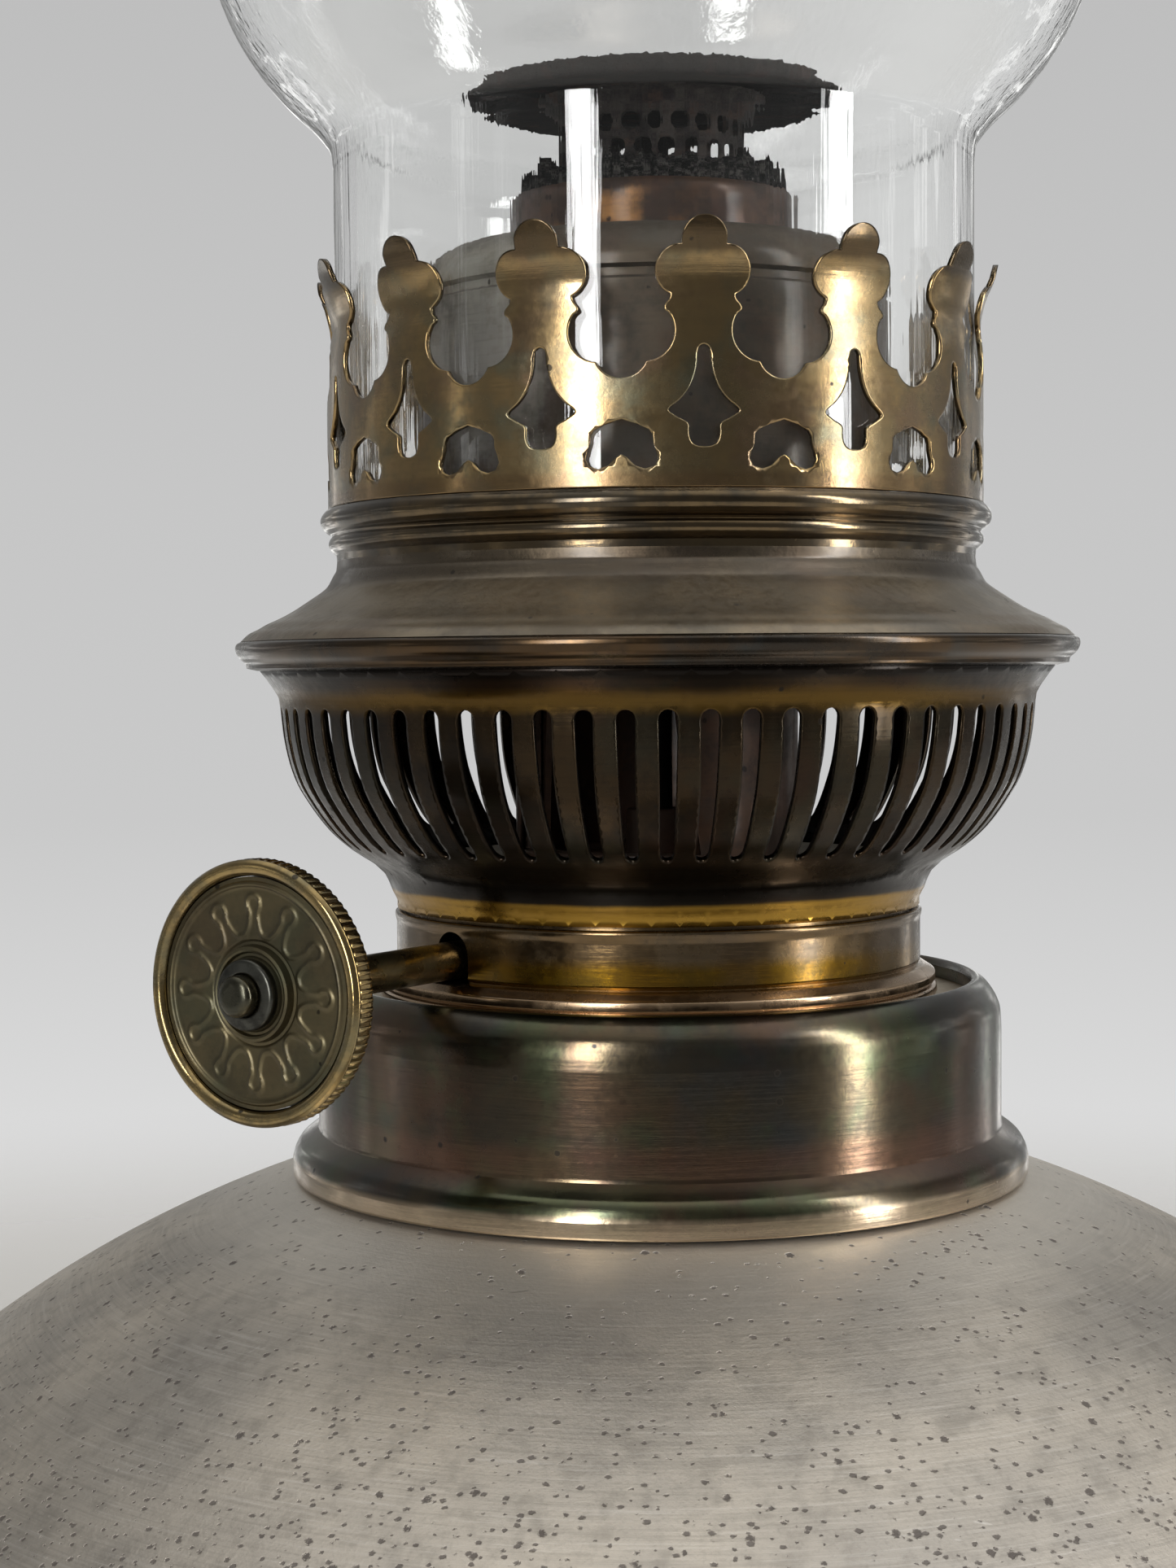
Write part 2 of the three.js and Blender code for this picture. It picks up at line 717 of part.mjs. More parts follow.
// Air basket: a round-bellied sheet with a ring of long slots that narrow downwards.
function airBasket() {
  const heights = basketShares.map(([, up]) => mix(basketZ, basketTopZ, up));
  const outside = basketShares.map(([out], i) => [
    mix(basketNeckRadius, basketTopRadius, out),
    heights[i],
  ]);
  const outerAt = alongPath(outside, heights);
  const innerAt = alongPath(moveAside(outside, basketSheet), heights);
  const ribEdge = (z, slotWidth) => {
    const pitch = (2 * Math.PI * outerAt(z)[0]) / slotCount;
    return { z, half: (pitch - slotWidth) / pitch / 2 };
  };
  const foot = ribEdge(mix(basketZ, basketTopZ, slotFootShare), slotFootWidth);
  const bend = ribEdge(heights[slotBendLevel], mix(slotFootWidth, slotTopWidth, slotBendShare));
  const top = ribEdge(mix(basketZ, basketTopZ, slotTopShare), slotTopWidth);
  const ribRow = ({ z, half }) => [[-half, z], [half, z]];
  const slottedRow = ({ z, half }) => [[-0.5, z], [-half, z], [half, z], [0.5, z]];
  const rows = heights.map(wholeRow);
  const below = [...rows.slice(0, slotBendLevel), slottedRow(foot)];
  const above = [slottedRow(top), ...rows.slice(slotBendLevel + 1)];
  const ribs = [foot, bend, top].map(ribRow);
  return wrappedSheet({
    copies: slotCount,
    panels: [below, ribs, above].flatMap((levels) =>
      levels.slice(1).map((row, i) => panelBetween(levels[i], row)),
    ),
    outerAt,
    innerAt,
    turn: Math.PI / slotCount,
  });
}

// Rim: the rolled edge that overhangs the basket.
function rim() {
  const roll = rimRollShares.map(([back, up]) => [
    rimRadius - rimUndercut * back,
    mix(rimZ, rimTopZ, up),
  ]);
  return revolve([[rimInnerRadius, rimZ], ...roll, [rimInnerRadius, rimTopZ]], burnerFacets);
}

// Cone: climbs from the rim to the bead, with a spigot that centres it in the rim.
function cone() {
  const outside = coneShares.map(([out, up]) => [
    mix(coneTopRadius, coneFootRadius, out),
    mix(coneZ, coneTopZ, up),
  ]);
  const inside = moveAside(outside, coneSheet).slice(1, -1);
  const spigotRadius = rimInnerRadius - clearance;
  return revolve(
    [
      ...outside,
      [coneTopRadius - coneSheet, coneTopZ],
      ...inside.reverse(),
      [spigotRadius - coneSheet, coneZ],
      [spigotRadius - coneSheet, coneZ - coneSpigotDepth],
      [spigotRadius, coneZ - coneSpigotDepth],
      [spigotRadius, coneZ],
    ],
    burnerFacets,
  );
}

// Bead ring: a large bead over a smaller one, with a groove between them.
function beadRing() {
  const at = (share) => mix(beadZ, beadTopZ, share);
  const low = coneTopRadius;
  const groove = crownOuterRadius;
  return revolve(
    [
      [beadInnerRadius, beadZ],
      [low, beadZ],
      [low, at(beadFootShare)],
      [low + beadProud * smallBeadProudShare, at(smallBeadShare)],
      [groove, at(beadGrooveShare)],
      [groove + beadProud, at(largeBeadShare)],
      [groove + beadProud / 2, beadTopZ],
      [beadInnerRadius, beadTopZ],
    ],
    burnerFacets,
  );
}

const seatRing = () =>
  revolve(
    ringOutline(
      drumRadius + liftClearance,
      beadInnerRadius - clearance,
      seatRingZ,
      beadTopZ,
    ),
    burnerFacets,
  );

// Crown: a band of sheet cut into spring fingers, with a spade under each finger and a heart between.
function crown() {
  const at = ([across, up]) => [across / 2, mix(crownZ, crownZ + crownHeight, up)];
  const mirror = ([across, z]) => [-across, z];
  const right = [...heartHoleShares, ...fingerEdgeShares].map(at);
  const left = right.slice(0, -1).reverse().map(mirror);
  const spadeRight = spadeHoleShares.map(at);
  const spadeLeft = spadeRight.slice(1, -1).reverse().map(mirror);
  const heights = crownFlareShares.map(([up]) => mix(crownZ, crownZ + crownHeight, up));
  const face = (radius) =>
    alongPath(
      crownFlareShares.map(([, out], i) => [radius + crownFlare * out, heights[i]]),
      heights,
    );
  return wrappedSheet({
    copies: fingerCount,
    panels: [
      {
        outline: [...wholeRow(crownZ), ...right, ...left],
        holes: [[...spadeRight, ...spadeLeft]],
      },
    ],
    outerAt: face(crownOuterRadius),
    innerAt: face(crownInnerRadius),
    turn: frontTurn + degrees(fingerTurnDegrees),
    widest: crownEdgeShare,
  });
}

// Chimney: a straight foot in the crown, a bulge round the flame and a long narrower tube. It is one
// piece of glass, kept as three solids that meet end to end, so that each is a plain ring.
const chimneyFoot = () =>
  revolve(
    ringOutline(
      chimneyBaseRadius - chimneyWall,
      chimneyBaseRadius,
      chimneyZ,
      chimneyBulgeZ - chimneyBulgeLead - clearance,
    ),
    burnerFacets,
  );

function chimneyBulge() {
  const rise = chimneyRiseShares.map(([out, up]) => [
    mix(chimneyBaseRadius, chimneyBulgeRadius, out),
    mix(chimneyBulgeZ, chimneyTubeZ, up),
  ]);
  const fall = chimneyFallShares.map(([out, up]) => [
    mix(chimneyTubeRadius, chimneyBulgeRadius, out),
    mix(chimneyBulgeZ, chimneyTubeZ, up),
  ]);
  const outside = [
    [chimneyBaseRadius, chimneyBulgeZ - chimneyBulgeLead],
    ...rise,
    ...fall,
    [chimneyTubeRadius, chimneyTubeZ + chimneyBulgeLead],
  ];
  return revolve(sheetOutline(outside, chimneyWall), burnerFacets);
}

const chimneyTube = () =>
  revolve(
    ringOutline(
      chimneyTubeRadius - chimneyWall,
      chimneyTubeRadius,
      chimneyTubeZ + chimneyBulgeLead + clearance,
      chimneyTubeZ + chimneyTubeHeight,
    ),
    burnerFacets,
  );

// A wedge with its edge on the axis and its opening towards +X, wider at one end if so asked.
function wedge(low, high, lowHalf, highHalf, reach) {
  const corner = (half, z, side) =>
    new THREE.Vector3(reach, side * reach * Math.tan(degrees(half)), z);
  return new ConvexGeometry([
    new THREE.Vector3(0, 0, low),
    new THREE.Vector3(0, 0, high),
    corner(lowHalf, low, -1),
    corner(lowHalf, low, 1),
    corner(highHalf, high, -1),
    corner(highHalf, high, 1),
  ]);
}

const windowReach = wickTubeRadius + cutOverrun;
const airWindow = () =>
  wedge(windowZ, windowTopZ, windowHalfDegrees, windowTopHalfDegrees, windowReach);

// Outer wick tube, cut by the air window and by the spindle's hole.
function outerWickTube() {
  const tube = revolve(
    ringOutline(wickTubeBore, wickTubeRadius, wickTubeZ, wickTubeTopZ),
    tubeFacets,
  );
  const hole = revolveAlongSpindle(
    [
      [0, 0],
      [spindleRadius + clearance, 0],
      [spindleRadius + clearance, windowReach],
      [0, windowReach],
    ],
    smallFacets,
  );
  return cut(tube, airWindow(), hole);
}

// Inner draft tube: open at the top and at the air window, and closed by its floor.
function draftTube() {
  const tube = revolve(
    [
      [0, draftFloorZ],
      [draftTubeRadius, draftFloorZ],
      [draftTubeRadius, wickTubeTopZ],
      [draftTubeBore, wickTubeTopZ],
      [draftTubeBore, draftFloorZ + draftTubeWall],
      [0, draftFloorZ + draftTubeWall],
    ],
    tubeFacets,
  );
  return cut(tube, airWindow());
}

// Frame that joins the two tubes round the air window.
function windowFrame() {
  const low = windowZ - windowFrameWall;
  const high = windowTopZ + windowFrameWall;
  const band = revolve(
    ringOutline(draftTubeRadius + clearance, wickTubeBore - clearance, low, high),
    tubeFacets,
  );
  const lowHalf = windowHalfDegrees + windowFrameDegrees;
  const highHalf = windowTopHalfDegrees + windowFrameDegrees;
  return cut(common(band, wedge(low, high, lowHalf, highHalf, windowReach)), airWindow());
}

// Drum: hangs on the wick tube by its top and turns the air towards the flame.
function drum() {
  const shoulderFootZ = drumTopZ - drumShoulderHeight;
  const shoulderCentre = [drumRadius - drumShoulderRun, shoulderFootZ];
  const outside = [
    [drumRadius, seatRingZ],
    ...arc(shoulderCentre, drumShoulderRun, drumShoulderHeight, 0, 90, 2),
    [wickTubeRadius + clearance, drumTopZ],
  ];
  return revolve(sheetOutline(outside, drumSheet), burnerFacets);
}

// Wick: one woven strip rolled into a tube. Its top is closed all round, and its tail is open where it
// passes the air window and the spindle. They are two solids that meet end to end.
const wick = () =>
  revolve(ringOutline(wickInnerRadius, wickOuterRadius, wickClosedZ, wickTopZ), tubeFacets);

function wickTail() {
  const half = windowHalfDegrees + windowFrameDegrees + wickGapDegrees;
  const tube = revolve(
    ringOutline(wickInnerRadius, wickOuterRadius, wickTailZ, wickClosedZ - clearance),
    tubeFacets,
  );
  return cut(tube, wedge(wickTailZ - cutOverrun, wickClosedZ, half, half, windowReach));
}

// Flame disc: slightly domed, with a bevelled edge and a boss that the stem meets.
function flameDisc() {
  const underZ = discEdgeZ - discThickness;
  return revolve(
    [
      [0, underZ - thimbleSheet],
      [stemRadius + socketWall, underZ - thimbleSheet],
      [stemRadius + socketWall, underZ],
      [discRadius - discEdgeUndercut, underZ],
      [discRadius, discEdgeZ],
      [discRadius * discBrowShare, discEdgeZ + discDome * discBrowRiseShare],
      [0, discEdgeZ + discDome],
    ],
    burnerFacets,
  );
}

// Thimble: a cup with two staggered rows of air holes under a flared mouth.
function thimble() {
  const topZ = discEdgeZ - discThickness - clearance;
  const flareZ = topZ - thimbleFlareHeight;
  const footZ = topZ - thimbleLength;
  const bore = stemRadius + clearance;
  const path = [
    [bore, footZ],
    [thimbleRadius, footZ],
    [thimbleRadius, flareZ],
    [thimbleRadius + thimbleFlare, topZ],
  ];
  const boreKey = footZ - (thimbleRadius - bore);
  const keys = [boreKey, footZ, flareZ, topZ];
  const rowZ = discEdgeZ - thimbleFirstRowDrop;
  const nextRowZ = rowZ - thimbleRowPitch;
  const half = thimbleHoleWidth / 2;
  const across = half / ((2 * Math.PI * thimbleRadius) / thimbleHoleCount);
  const border = [
    [0.5, footZ],
    [0.5, nextRowZ - half],
    [0.5 - across, nextRowZ],
    [0.5, nextRowZ + half],
    [0.5, flareZ],
  ];
  const hole = [
    [across, rowZ],
    [0, rowZ + half],
    [-across, rowZ],
    [0, rowZ - half],
  ];
  return wrappedSheet({
    copies: thimbleHoleCount,
    panels: [
      panelBetween(wholeRow(boreKey), wholeRow(footZ)),
      {
        outline: [...border, ...border.map(([share, z]) => [-share, z]).reverse()],
        holes: [hole],
      },
      panelBetween(wholeRow(flareZ), wholeRow(topZ)),
    ],
    outerAt: alongPath(path, keys),
    innerAt: alongPath(moveAside(path, thimbleSheet), keys),
  });
}

// Stem: stands in the socket on the draft tube's floor and carries the thimble and the disc.
function stem() {
  const low = draftFloorZ + draftTubeWall + clearance;
  const high = discEdgeZ - discThickness - thimbleSheet - clearance;
  return revolve([[0, low], [stemRadius, low], [stemRadius, high], [0, high]], smallFacets);
}

const stemSocket = () =>
  revolve(
    ringOutline(
      stemRadius + clearance,
      stemRadius + clearance + socketWall,
      draftFloorZ + draftTubeWall + clearance,
      draftFloorZ + draftTubeWall + clearance + socketHeight,
    ),
    smallFacets,
  );

const knobBackPlace = knobReach - knobThickness;
const knobDiscBack = knobReach - knobDiscSetBack - knobDiscThickness;
const knobDiscFace = knobReach - knobDiscSetBack;
const knobBossFace = knobDiscFace + knobBossHeight;
const spindleEnd = knobBossFace + spindleEndProud;

// Spindle: a thin journal between the bracket's cheeks and a stouter shaft out through the knob.
function spindle() {
  const innerEnd = -bracketReach - bracketThickness;
  return revolveAlongSpindle(
    [
      [0, innerEnd],
      [spindleJournalRadius, innerEnd],
      [spindleJournalRadius, spindleShoulderPlace],
      [spindleRadius, spindleShoulderPlace],
      [spindleRadius, spindleEnd - spindleEndRound],
      [spindleRadius - spindleEndRound, spindleEnd],
      [0, spindleEnd],
    ],
    smallFacets,
  );
}

// Wick wheel: its teeth reach the wick's inner face, which bounds the wheel's radius.
function wickWheel(place) {
  const farFace = wickWheelPlace + wickWheelThickness / 2;
  const reach = Math.sqrt((wickInnerRadius - clearance) ** 2 - farFace ** 2);
  const tipRadius = reach - spindleOffset;
  const rootRadius = tipRadius - wickWheelToothDepth;
  const shape = new THREE.Shape();
  for (let i = 0; i < 2 * wickWheelTeeth; i += 1) {
    const angle = (i * Math.PI) / wickWheelTeeth;
    const radius = i % 2 ? rootRadius : tipRadius;
    const point = [radius * Math.cos(angle), radius * Math.sin(angle)];
    if (i) shape.lineTo(...point);
    else shape.moveTo(...point);
  }
  shape.closePath();
  const bore = new THREE.Path();
  bore.absarc(0, 0, spindleJournalRadius + clearance, 0, 2 * Math.PI, true);
  shape.holes.push(bore);
  const wheel = new THREE.ExtrudeGeometry(shape, {
    depth: wickWheelThickness,
    bevelEnabled: false,
    curveSegments: smallFacets,
  });
  wheel.rotateY(degrees(90));
  return wheel.translate(place - wickWheelThickness / 2, -spindleOffset, spindleZ);
}

// Bracket: a strap under the draft tube's floor whose two cheeks carry the spindle's journal.
function spindleBracket() {
  const top = draftFloorZ - clearance - spindleZ;
  const low = -bracketWidth / 2;
  const inside = bracketReach - bracketThickness;
  const strap = new THREE.Shape();
  strap.moveTo(-bracketReach, low);
  strap.lineTo(-inside, low);
  strap.lineTo(-inside, top - bracketThickness);
  strap.lineTo(inside, top - bracketThickness);
  strap.lineTo(inside, low);
  strap.lineTo(bracketReach, low);
  strap.lineTo(bracketReach, top);
  strap.lineTo(-bracketReach, top);
  strap.closePath();
  const body = new THREE.ExtrudeGeometry(strap, { depth: bracketWidth, bevelEnabled: false });
  body.rotateX(degrees(90)).translate(0, bracketWidth / 2 - spindleOffset, spindleZ);
  const bore = revolveAlongSpindle(
    [
      [0, -bracketReach - cutOverrun],
      [spindleJournalRadius + clearance, -bracketReach - cutOverrun],
      [spindleJournalRadius + clearance, bracketReach + cutOverrun],
      [0, bracketReach + cutOverrun],
    ],
    smallFacets,
  );
  return cut(body, bore);
}

// Gland: the bush that guides the shaft where it leaves the wick tube.
function spindleGland() {
  const bush = revolveAlongSpindle(
    ringOutline(
      spindleRadius + clearance,
      spindleRadius + clearance + glandWall,
      0,
      glandReach,
    ),
    smallFacets,
  );
  const tube = revolve(
    [
      [0, spindleZ - glandReach],
      [wickTubeRadius + clearance, spindleZ - glandReach],
      [wickTubeRadius + clearance, spindleZ + glandReach],
      [0, spindleZ + glandReach],
    ],
    tubeFacets,
  );
  return cut(bush, tube);
}

// Knob disc: a pressed disc with a boss in front and a hub behind.
function knobDisc() {
  const bore = spindleRadius + clearance;
  const radius = knobRadius - knobRimWidth - clearance;
  return revolveAlongSpindle(
    [
      [bore, knobDiscBack - knobHubLength],
      [knobHubRadius, knobDiscBack - knobHubLength],
      [knobHubRadius, knobDiscBack],
      [radius, knobDiscBack],
      [radius, knobDiscFace],
      [knobBossRadius, knobDiscFace],
      [knobBossRadius, knobBossFace],
      [bore, knobBossFace],
    ],
    tubeFacets,
  );
}

const knobRim = () =>
  revolveAlongSpindle(
    knobRimShares.map(([inwards, along]) => [
      knobRadius - knobRimWidth * inwards,
      mix(knobBackPlace, knobReach, along),
    ]),
    burnerFacets,
  );

// Knob nut: the ring on the boss that holds the knob on the spindle.
function knobNut() {
  const bore = spindleRadius + clearance;
  const back = knobBossFace + clearance;
  return revolveAlongSpindle(
    ringOutline(bore, bore + knobNutWall, back, back + knobNutHeight),
    tubeFacets,
  );
}

const fount = assembly(
  mesh("foot", foot(), finishes.pewter),
  mesh("fount_lower_bowl", lowerBowl(), finishes.pewter),
  mesh("fount_upper_bowl", upperBowl(), finishes.pewter),
  mesh("fount_collar", collar(), finishes.darkBrass),
  mesh("collar_thread_ring", threadRing(), finishes.darkBrass),
);

// The pieces that the air window and the spindle cross are modelled with the spindle along +X.
const turned = assembly(
  mesh("outer_wick_tube", outerWickTube(), finishes.copper),
  mesh("inner_draft_tube", draftTube(), finishes.copper),
  mesh("air_window_frame", windowFrame(), finishes.copper),
  mesh("wick", wick(), finishes.wick),
  mesh("wick_tail", wickTail(), finishes.wick),
  mesh("spindle_bracket", spindleBracket(), finishes.agedBrass),
  mesh("spindle_gland", spindleGland(), finishes.agedBrass),
  mesh("winder_spindle", spindle(), finishes.darkBrass),
  mesh("wick_wheel_inner", wickWheel(-wickWheelPlace), finishes.agedBrass),
  mesh("wick_wheel_outer", wickWheel(wickWheelPlace), finishes.agedBrass),
  mesh("knob_disc", knobDisc(), finishes.darkBrass),
  mesh("knob_rim", knobRim(), finishes.knobBrass),
  mesh("knob_nut", knobNut(), finishes.darkBrass),
);
turned.rotation.z = spindleTurn;

const burner = assembly(
  mesh("burner_base_ring", baseRing(), finishes.basketBrass),
  mesh("burner_thread_skirt", threadSkirt(), finishes.basketBrass),
  mesh("burner_floor_plate", floorPlate(), finishes.agedBrass),
  mesh("air_basket", airBasket(), finishes.basketBrass),
  mesh("basket_rim", rim(), finishes.darkBrass),
  mesh("air_deflector_drum", drum(), finishes.sooty),
  mesh("stem_socket", stemSocket(), finishes.copper),
  turned,
);

const gallery = assembly(
  mesh("gallery_cone", cone(), finishes.coneBrass),
  mesh("gallery_bead_ring", beadRing(), finishes.darkBrass),
  mesh("chimney_seat_ring", seatRing(), finishes.darkBrass),
  mesh("gallery_crown", crown(), finishes.agedBrass),
);

const spreader = assembly(
  mesh("flame_disc", flameDisc(), finishes.sooty),
  mesh("spreader_thimble", thimble(), finishes.sooty),
  mesh("spreader_stem", stem(), finishes.sooty),
);

const glass = assembly(
  mesh("chimney_foot", chimneyFoot(), finishes.glass),
  mesh("chimney_bulge", chimneyBulge(), finishes.glass),
  mesh("glass_chimney", chimneyTube(), finishes.glass),
);

export default assembly(fount, burner, gallery, spreader, glass);
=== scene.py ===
"""Looks of a pewter kerosene table lamp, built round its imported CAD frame.

The visible pieces are spun, pressed and pierced sheet metal, so most of them are smooth bodies of
revolution or pierced sheets wrapped round the burner's axis. Sizes are in millimetres until a mesh is made.
"""

import logging
import math
from dataclasses import dataclass, field
from enum import Enum
from typing import Callable, ClassVar, Sequence

import bpy
import numpy as np
from mathutils import Matrix, Vector, noise
from mathutils.geometry import delaunay_2d_cdt


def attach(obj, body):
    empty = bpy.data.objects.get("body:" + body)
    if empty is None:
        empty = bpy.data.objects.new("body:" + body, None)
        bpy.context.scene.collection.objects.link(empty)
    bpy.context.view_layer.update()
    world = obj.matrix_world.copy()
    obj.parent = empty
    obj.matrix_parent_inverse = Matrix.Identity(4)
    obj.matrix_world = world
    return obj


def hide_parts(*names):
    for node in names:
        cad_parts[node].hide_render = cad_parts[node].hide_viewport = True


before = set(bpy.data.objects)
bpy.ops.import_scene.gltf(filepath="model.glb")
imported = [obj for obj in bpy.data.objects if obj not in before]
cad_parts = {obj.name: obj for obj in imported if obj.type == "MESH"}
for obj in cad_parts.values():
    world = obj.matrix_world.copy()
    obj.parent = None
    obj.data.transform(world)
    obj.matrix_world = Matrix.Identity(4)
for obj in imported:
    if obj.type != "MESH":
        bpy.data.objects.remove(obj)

LOG = logging.getLogger("lamp")
MM = 0.001
TINY = 1e-5
MARK_RADIUS = 26.0
CREASE, SPUN_CREASE, CUT_CREASE, JOINED_CREASE, NO_CREASE = 35.0, 40.0, 30.0, 50.0, 180.0
THREAD_PITCH, THREAD_DEPTH = 1.6, 0.45

Point = tuple[float, float]
Spot = tuple[float, float, float]
Colour = tuple[float, float, float, float]
BLACK: Colour = (0.0, 0.0, 0.0, 1.0)


def shade(red: float, green: float, blue: float) -> Colour:
    """A colour given as the eye sees it, 0 to 255, as the linear colour that a shader takes."""
    parts = [v / 255 for v in (red, green, blue)]
    return (*(v / 12.92 if v <= 0.04045 else ((v + 0.055) / 1.055) ** 2.4 for v in parts), 1.0)


def mix(start: float, end: float, share: float) -> float:
    """The value that lies a share of the way from start to end."""
    return start + (end - start) * share


def spaced(start: float, end: float, count: int) -> list[float]:
    """Evenly spaced values from start to end, which are both among them."""
    return [mix(start, end, i / count) for i in range(count + 1)]


class Body(Enum):
    """The bodies of the frame that a piece can ride on."""

    FOUNT = "fount"
    BURNER = "burner"
    WINDER = "winder"
    WICK = "wick"
    GALLERY = "gallery"
    CHIMNEY = "chimney"
    SPREADER = "spreader"


# Outlines -------------------------------------------------------------------


def upright(x: float, heights: Sequence[float]) -> list[Point]:
    """Points over one another."""
    return [(x, y) for y in heights]


def level(places: Sequence[float], height: float) -> list[Point]:
    """Points beside one another."""
    return [(x, height) for x in places]


def mirrored(points: Sequence[Point]) -> list[Point]:
    """The points on the other side of the upright axis, from the last to the first."""
    return [(-x, y) for x, y in reversed(points)]


def ellipse(centre: Point, across: float, up: float, turns: Sequence[float]) -> list[Point]:
    """The points of an ellipse at turns given in radians."""
    return [(centre[0] + across * math.cos(t), centre[1] + up * math.sin(t)) for t in turns]


def arc(
    centre: Point, across: float, start: float, end: float, steps: int, up: float | None = None
) -> list[Point]:
    """Points on an arc of a circle or an ellipse.

    Args:
        centre: its centre.
        across: its radius sideways.
        start: the first angle in degrees.
        end: the last angle in degrees.
        steps: how many chords it has.
        up: its radius upwards, where that is another one.

    Returns:
        The points, both ends included.
    """
    turns = [math.radians(angle) for angle in spaced(start, end, steps)]
    return ellipse(centre, across, across if up is None else up, turns)


def flowing(knots: Sequence[Point], steps: int = 6) -> list[Point]:
    """A smooth curve that passes through every knot.

    Args:
        knots: the points to pass through.
        steps: how many chords there are between two knots.

    Returns:
        The points of the curve.
    """
    first, last = ((2 * a[0] - b[0], 2 * a[1] - b[1]) for a, b in (knots[:2], knots[:-3:-1]))
    held = np.array([first, *knots, last], float)
    curve = []
    for before, start, end, after in zip(held, held[1:], held[2:], held[3:]):
        for i in range(steps):
            t = i / steps
            bend = 2 * before - 5 * start + 4 * end - after + t * (3 * (start - end) + after - before)
            x, y = start + 0.5 * t * ((end - before) + t * bend)
            curve.append((float(x), float(y)))
    return [*curve, (float(knots[-1][0]), float(knots[-1][1]))]


def soften(outline: Sequence[tuple[float, ...]], steps: int = 4) -> list[Point]:
    """A closed outline with its corners rounded.

    Args:
        outline: points, each with an optional third number, the size of its corner's round.
        steps: how many chords a round has.

    Returns:
        The points of the rounded outline.
    """
    made: list[Point] = []
    for i, corner in enumerate(outline):
        here = Vector(corner[:2])
        size = corner[2] if len(corner) > 2 else 0.0
        if not size:
            made.append((here.x, here.y))
            continue
        back = Vector(outline[i - 1][:2]) - here
        on = Vector(outline[(i + 1) % len(outline)][:2]) - here
        reach = min(size, 0.48 * back.length, 0.48 * on.length)
        start, end = here + back.normalized() * reach, here + on.normalized() * reach
        for t in spaced(0.0, 1.0, steps):
            point = start * (1 - t) ** 2 + here * (2 * t * (1 - t)) + end * t**2
            made.append((point.x, point.y))
    return made


def beside(path: Sequence[Point], distance: float) -> list[Point]:
    """The open path moved to its left as it runs, by a distance."""
    points = np.array(path, float)
    ways = unit_rows(np.gradient(points, axis=0))
    moved = points + distance * np.column_stack([-ways[:, 1], ways[:, 0]])
    return [(float(x), float(y)) for x, y in moved]


def unit_rows(ways: np.ndarray) -> np.ndarray:
    """The rows brought to length one."""
    return ways / np.maximum(np.linalg.norm(ways, axis=1, keepdims=True), 1e-9)


def sheet(path: Sequence[Point], wall: float) -> list[Point]:
    """The closed outline of a sheet that follows a path, with its thickness on the path's left."""
    return [*path, *reversed(beside(path, wall))]


# Meshes ---------------------------------------------------------------------


def placed(name: str, data: bpy.types.ID) -> bpy.types.Object:
    """A new object in the scene."""
    made = bpy.data.objects.new(name, data)
    bpy.context.scene.collection.objects.link(made)
    return made


def evaluated(piece: bpy.types.Object, name: str) -> bpy.types.Mesh:
    """The plain smooth mesh that an object's modifiers make."""
    graph = bpy.context.evaluated_depsgraph_get()
    made = bpy.data.meshes.new_from_object(piece.evaluated_get(graph))
    made.name = name
    made.shade_smooth()
    return made


@dataclass
class Form:
    """Vertices in millimetres and faces that look outwards."""

    vertices: list[Spot] = field(default_factory=list)
    faces: list[tuple[int, ...]] = field(default_factory=list)
    normals: list[Spot] | None = None

    def add(self, other: "Form") -> "Form":
        """Takes in the faces of another form. Set normals are dropped."""
        first = len(self.vertices)
        self.normals = None
        self.vertices = [*self.vertices, *other.vertices]
        self.faces = [*self.faces, *(tuple(i + first for i in face) for face in other.faces)]
        return self

    def ring(self, radius: float, height: float, around: int) -> int:
        """Adds a ring of vertices about Z.

        Args:
            radius: its radius.
            height: its height.
            around: how many vertices it has.

        Returns:
            The number of its first vertex.
        """
        first = len(self.vertices)
        turns = (2 * math.pi * k / around for k in range(around))
        self.vertices.extend((radius * math.cos(t), radius * math.sin(t), height) for t in turns)
        return first

    def band(self, low: int, high: int, around: int) -> None:
        """Adds the faces between two rings, which look outwards where the second is the upper one.

        Args:
            low: the number of the lower ring's first vertex.
            high: that of the upper ring.
            around: how many vertices a ring has.
        """
        for k in range(around):
            n = (k + 1) % around
            self.faces.append((low + k, low + n, high + n, high + k))

    def moved(self, place: Matrix) -> "Form":
        """The form turned and moved by a matrix in millimetres."""
        turn = place.to_3x3()
        normals = None if self.normals is None else [tuple(turn @ Vector(n)) for n in self.normals]
        return Form([tuple(place @ Vector(v)) for v in self.vertices], list(self.faces), normals)

    def mesh(self, name: str, crease: float = CREASE) -> bpy.types.Mesh:
        """The form as a Blender mesh in metres.

        Args:
            name: the mesh's name.
            crease: the angle in degrees from which an edge is sharp, where no normals are set.

        Returns:
            The mesh, smooth between its sharp edges.
        """
        made = bpy.data.meshes.new(name)
        made.from_pydata([(x * MM, y * MM, z * MM) for x, y, z in self.vertices], [], self.faces)
        made.shade_smooth()
        if self.normals is None:
            made.set_sharp_from_angle(angle=math.radians(crease))
        else:
            made.normals_split_custom_set(self.normals)
        return made


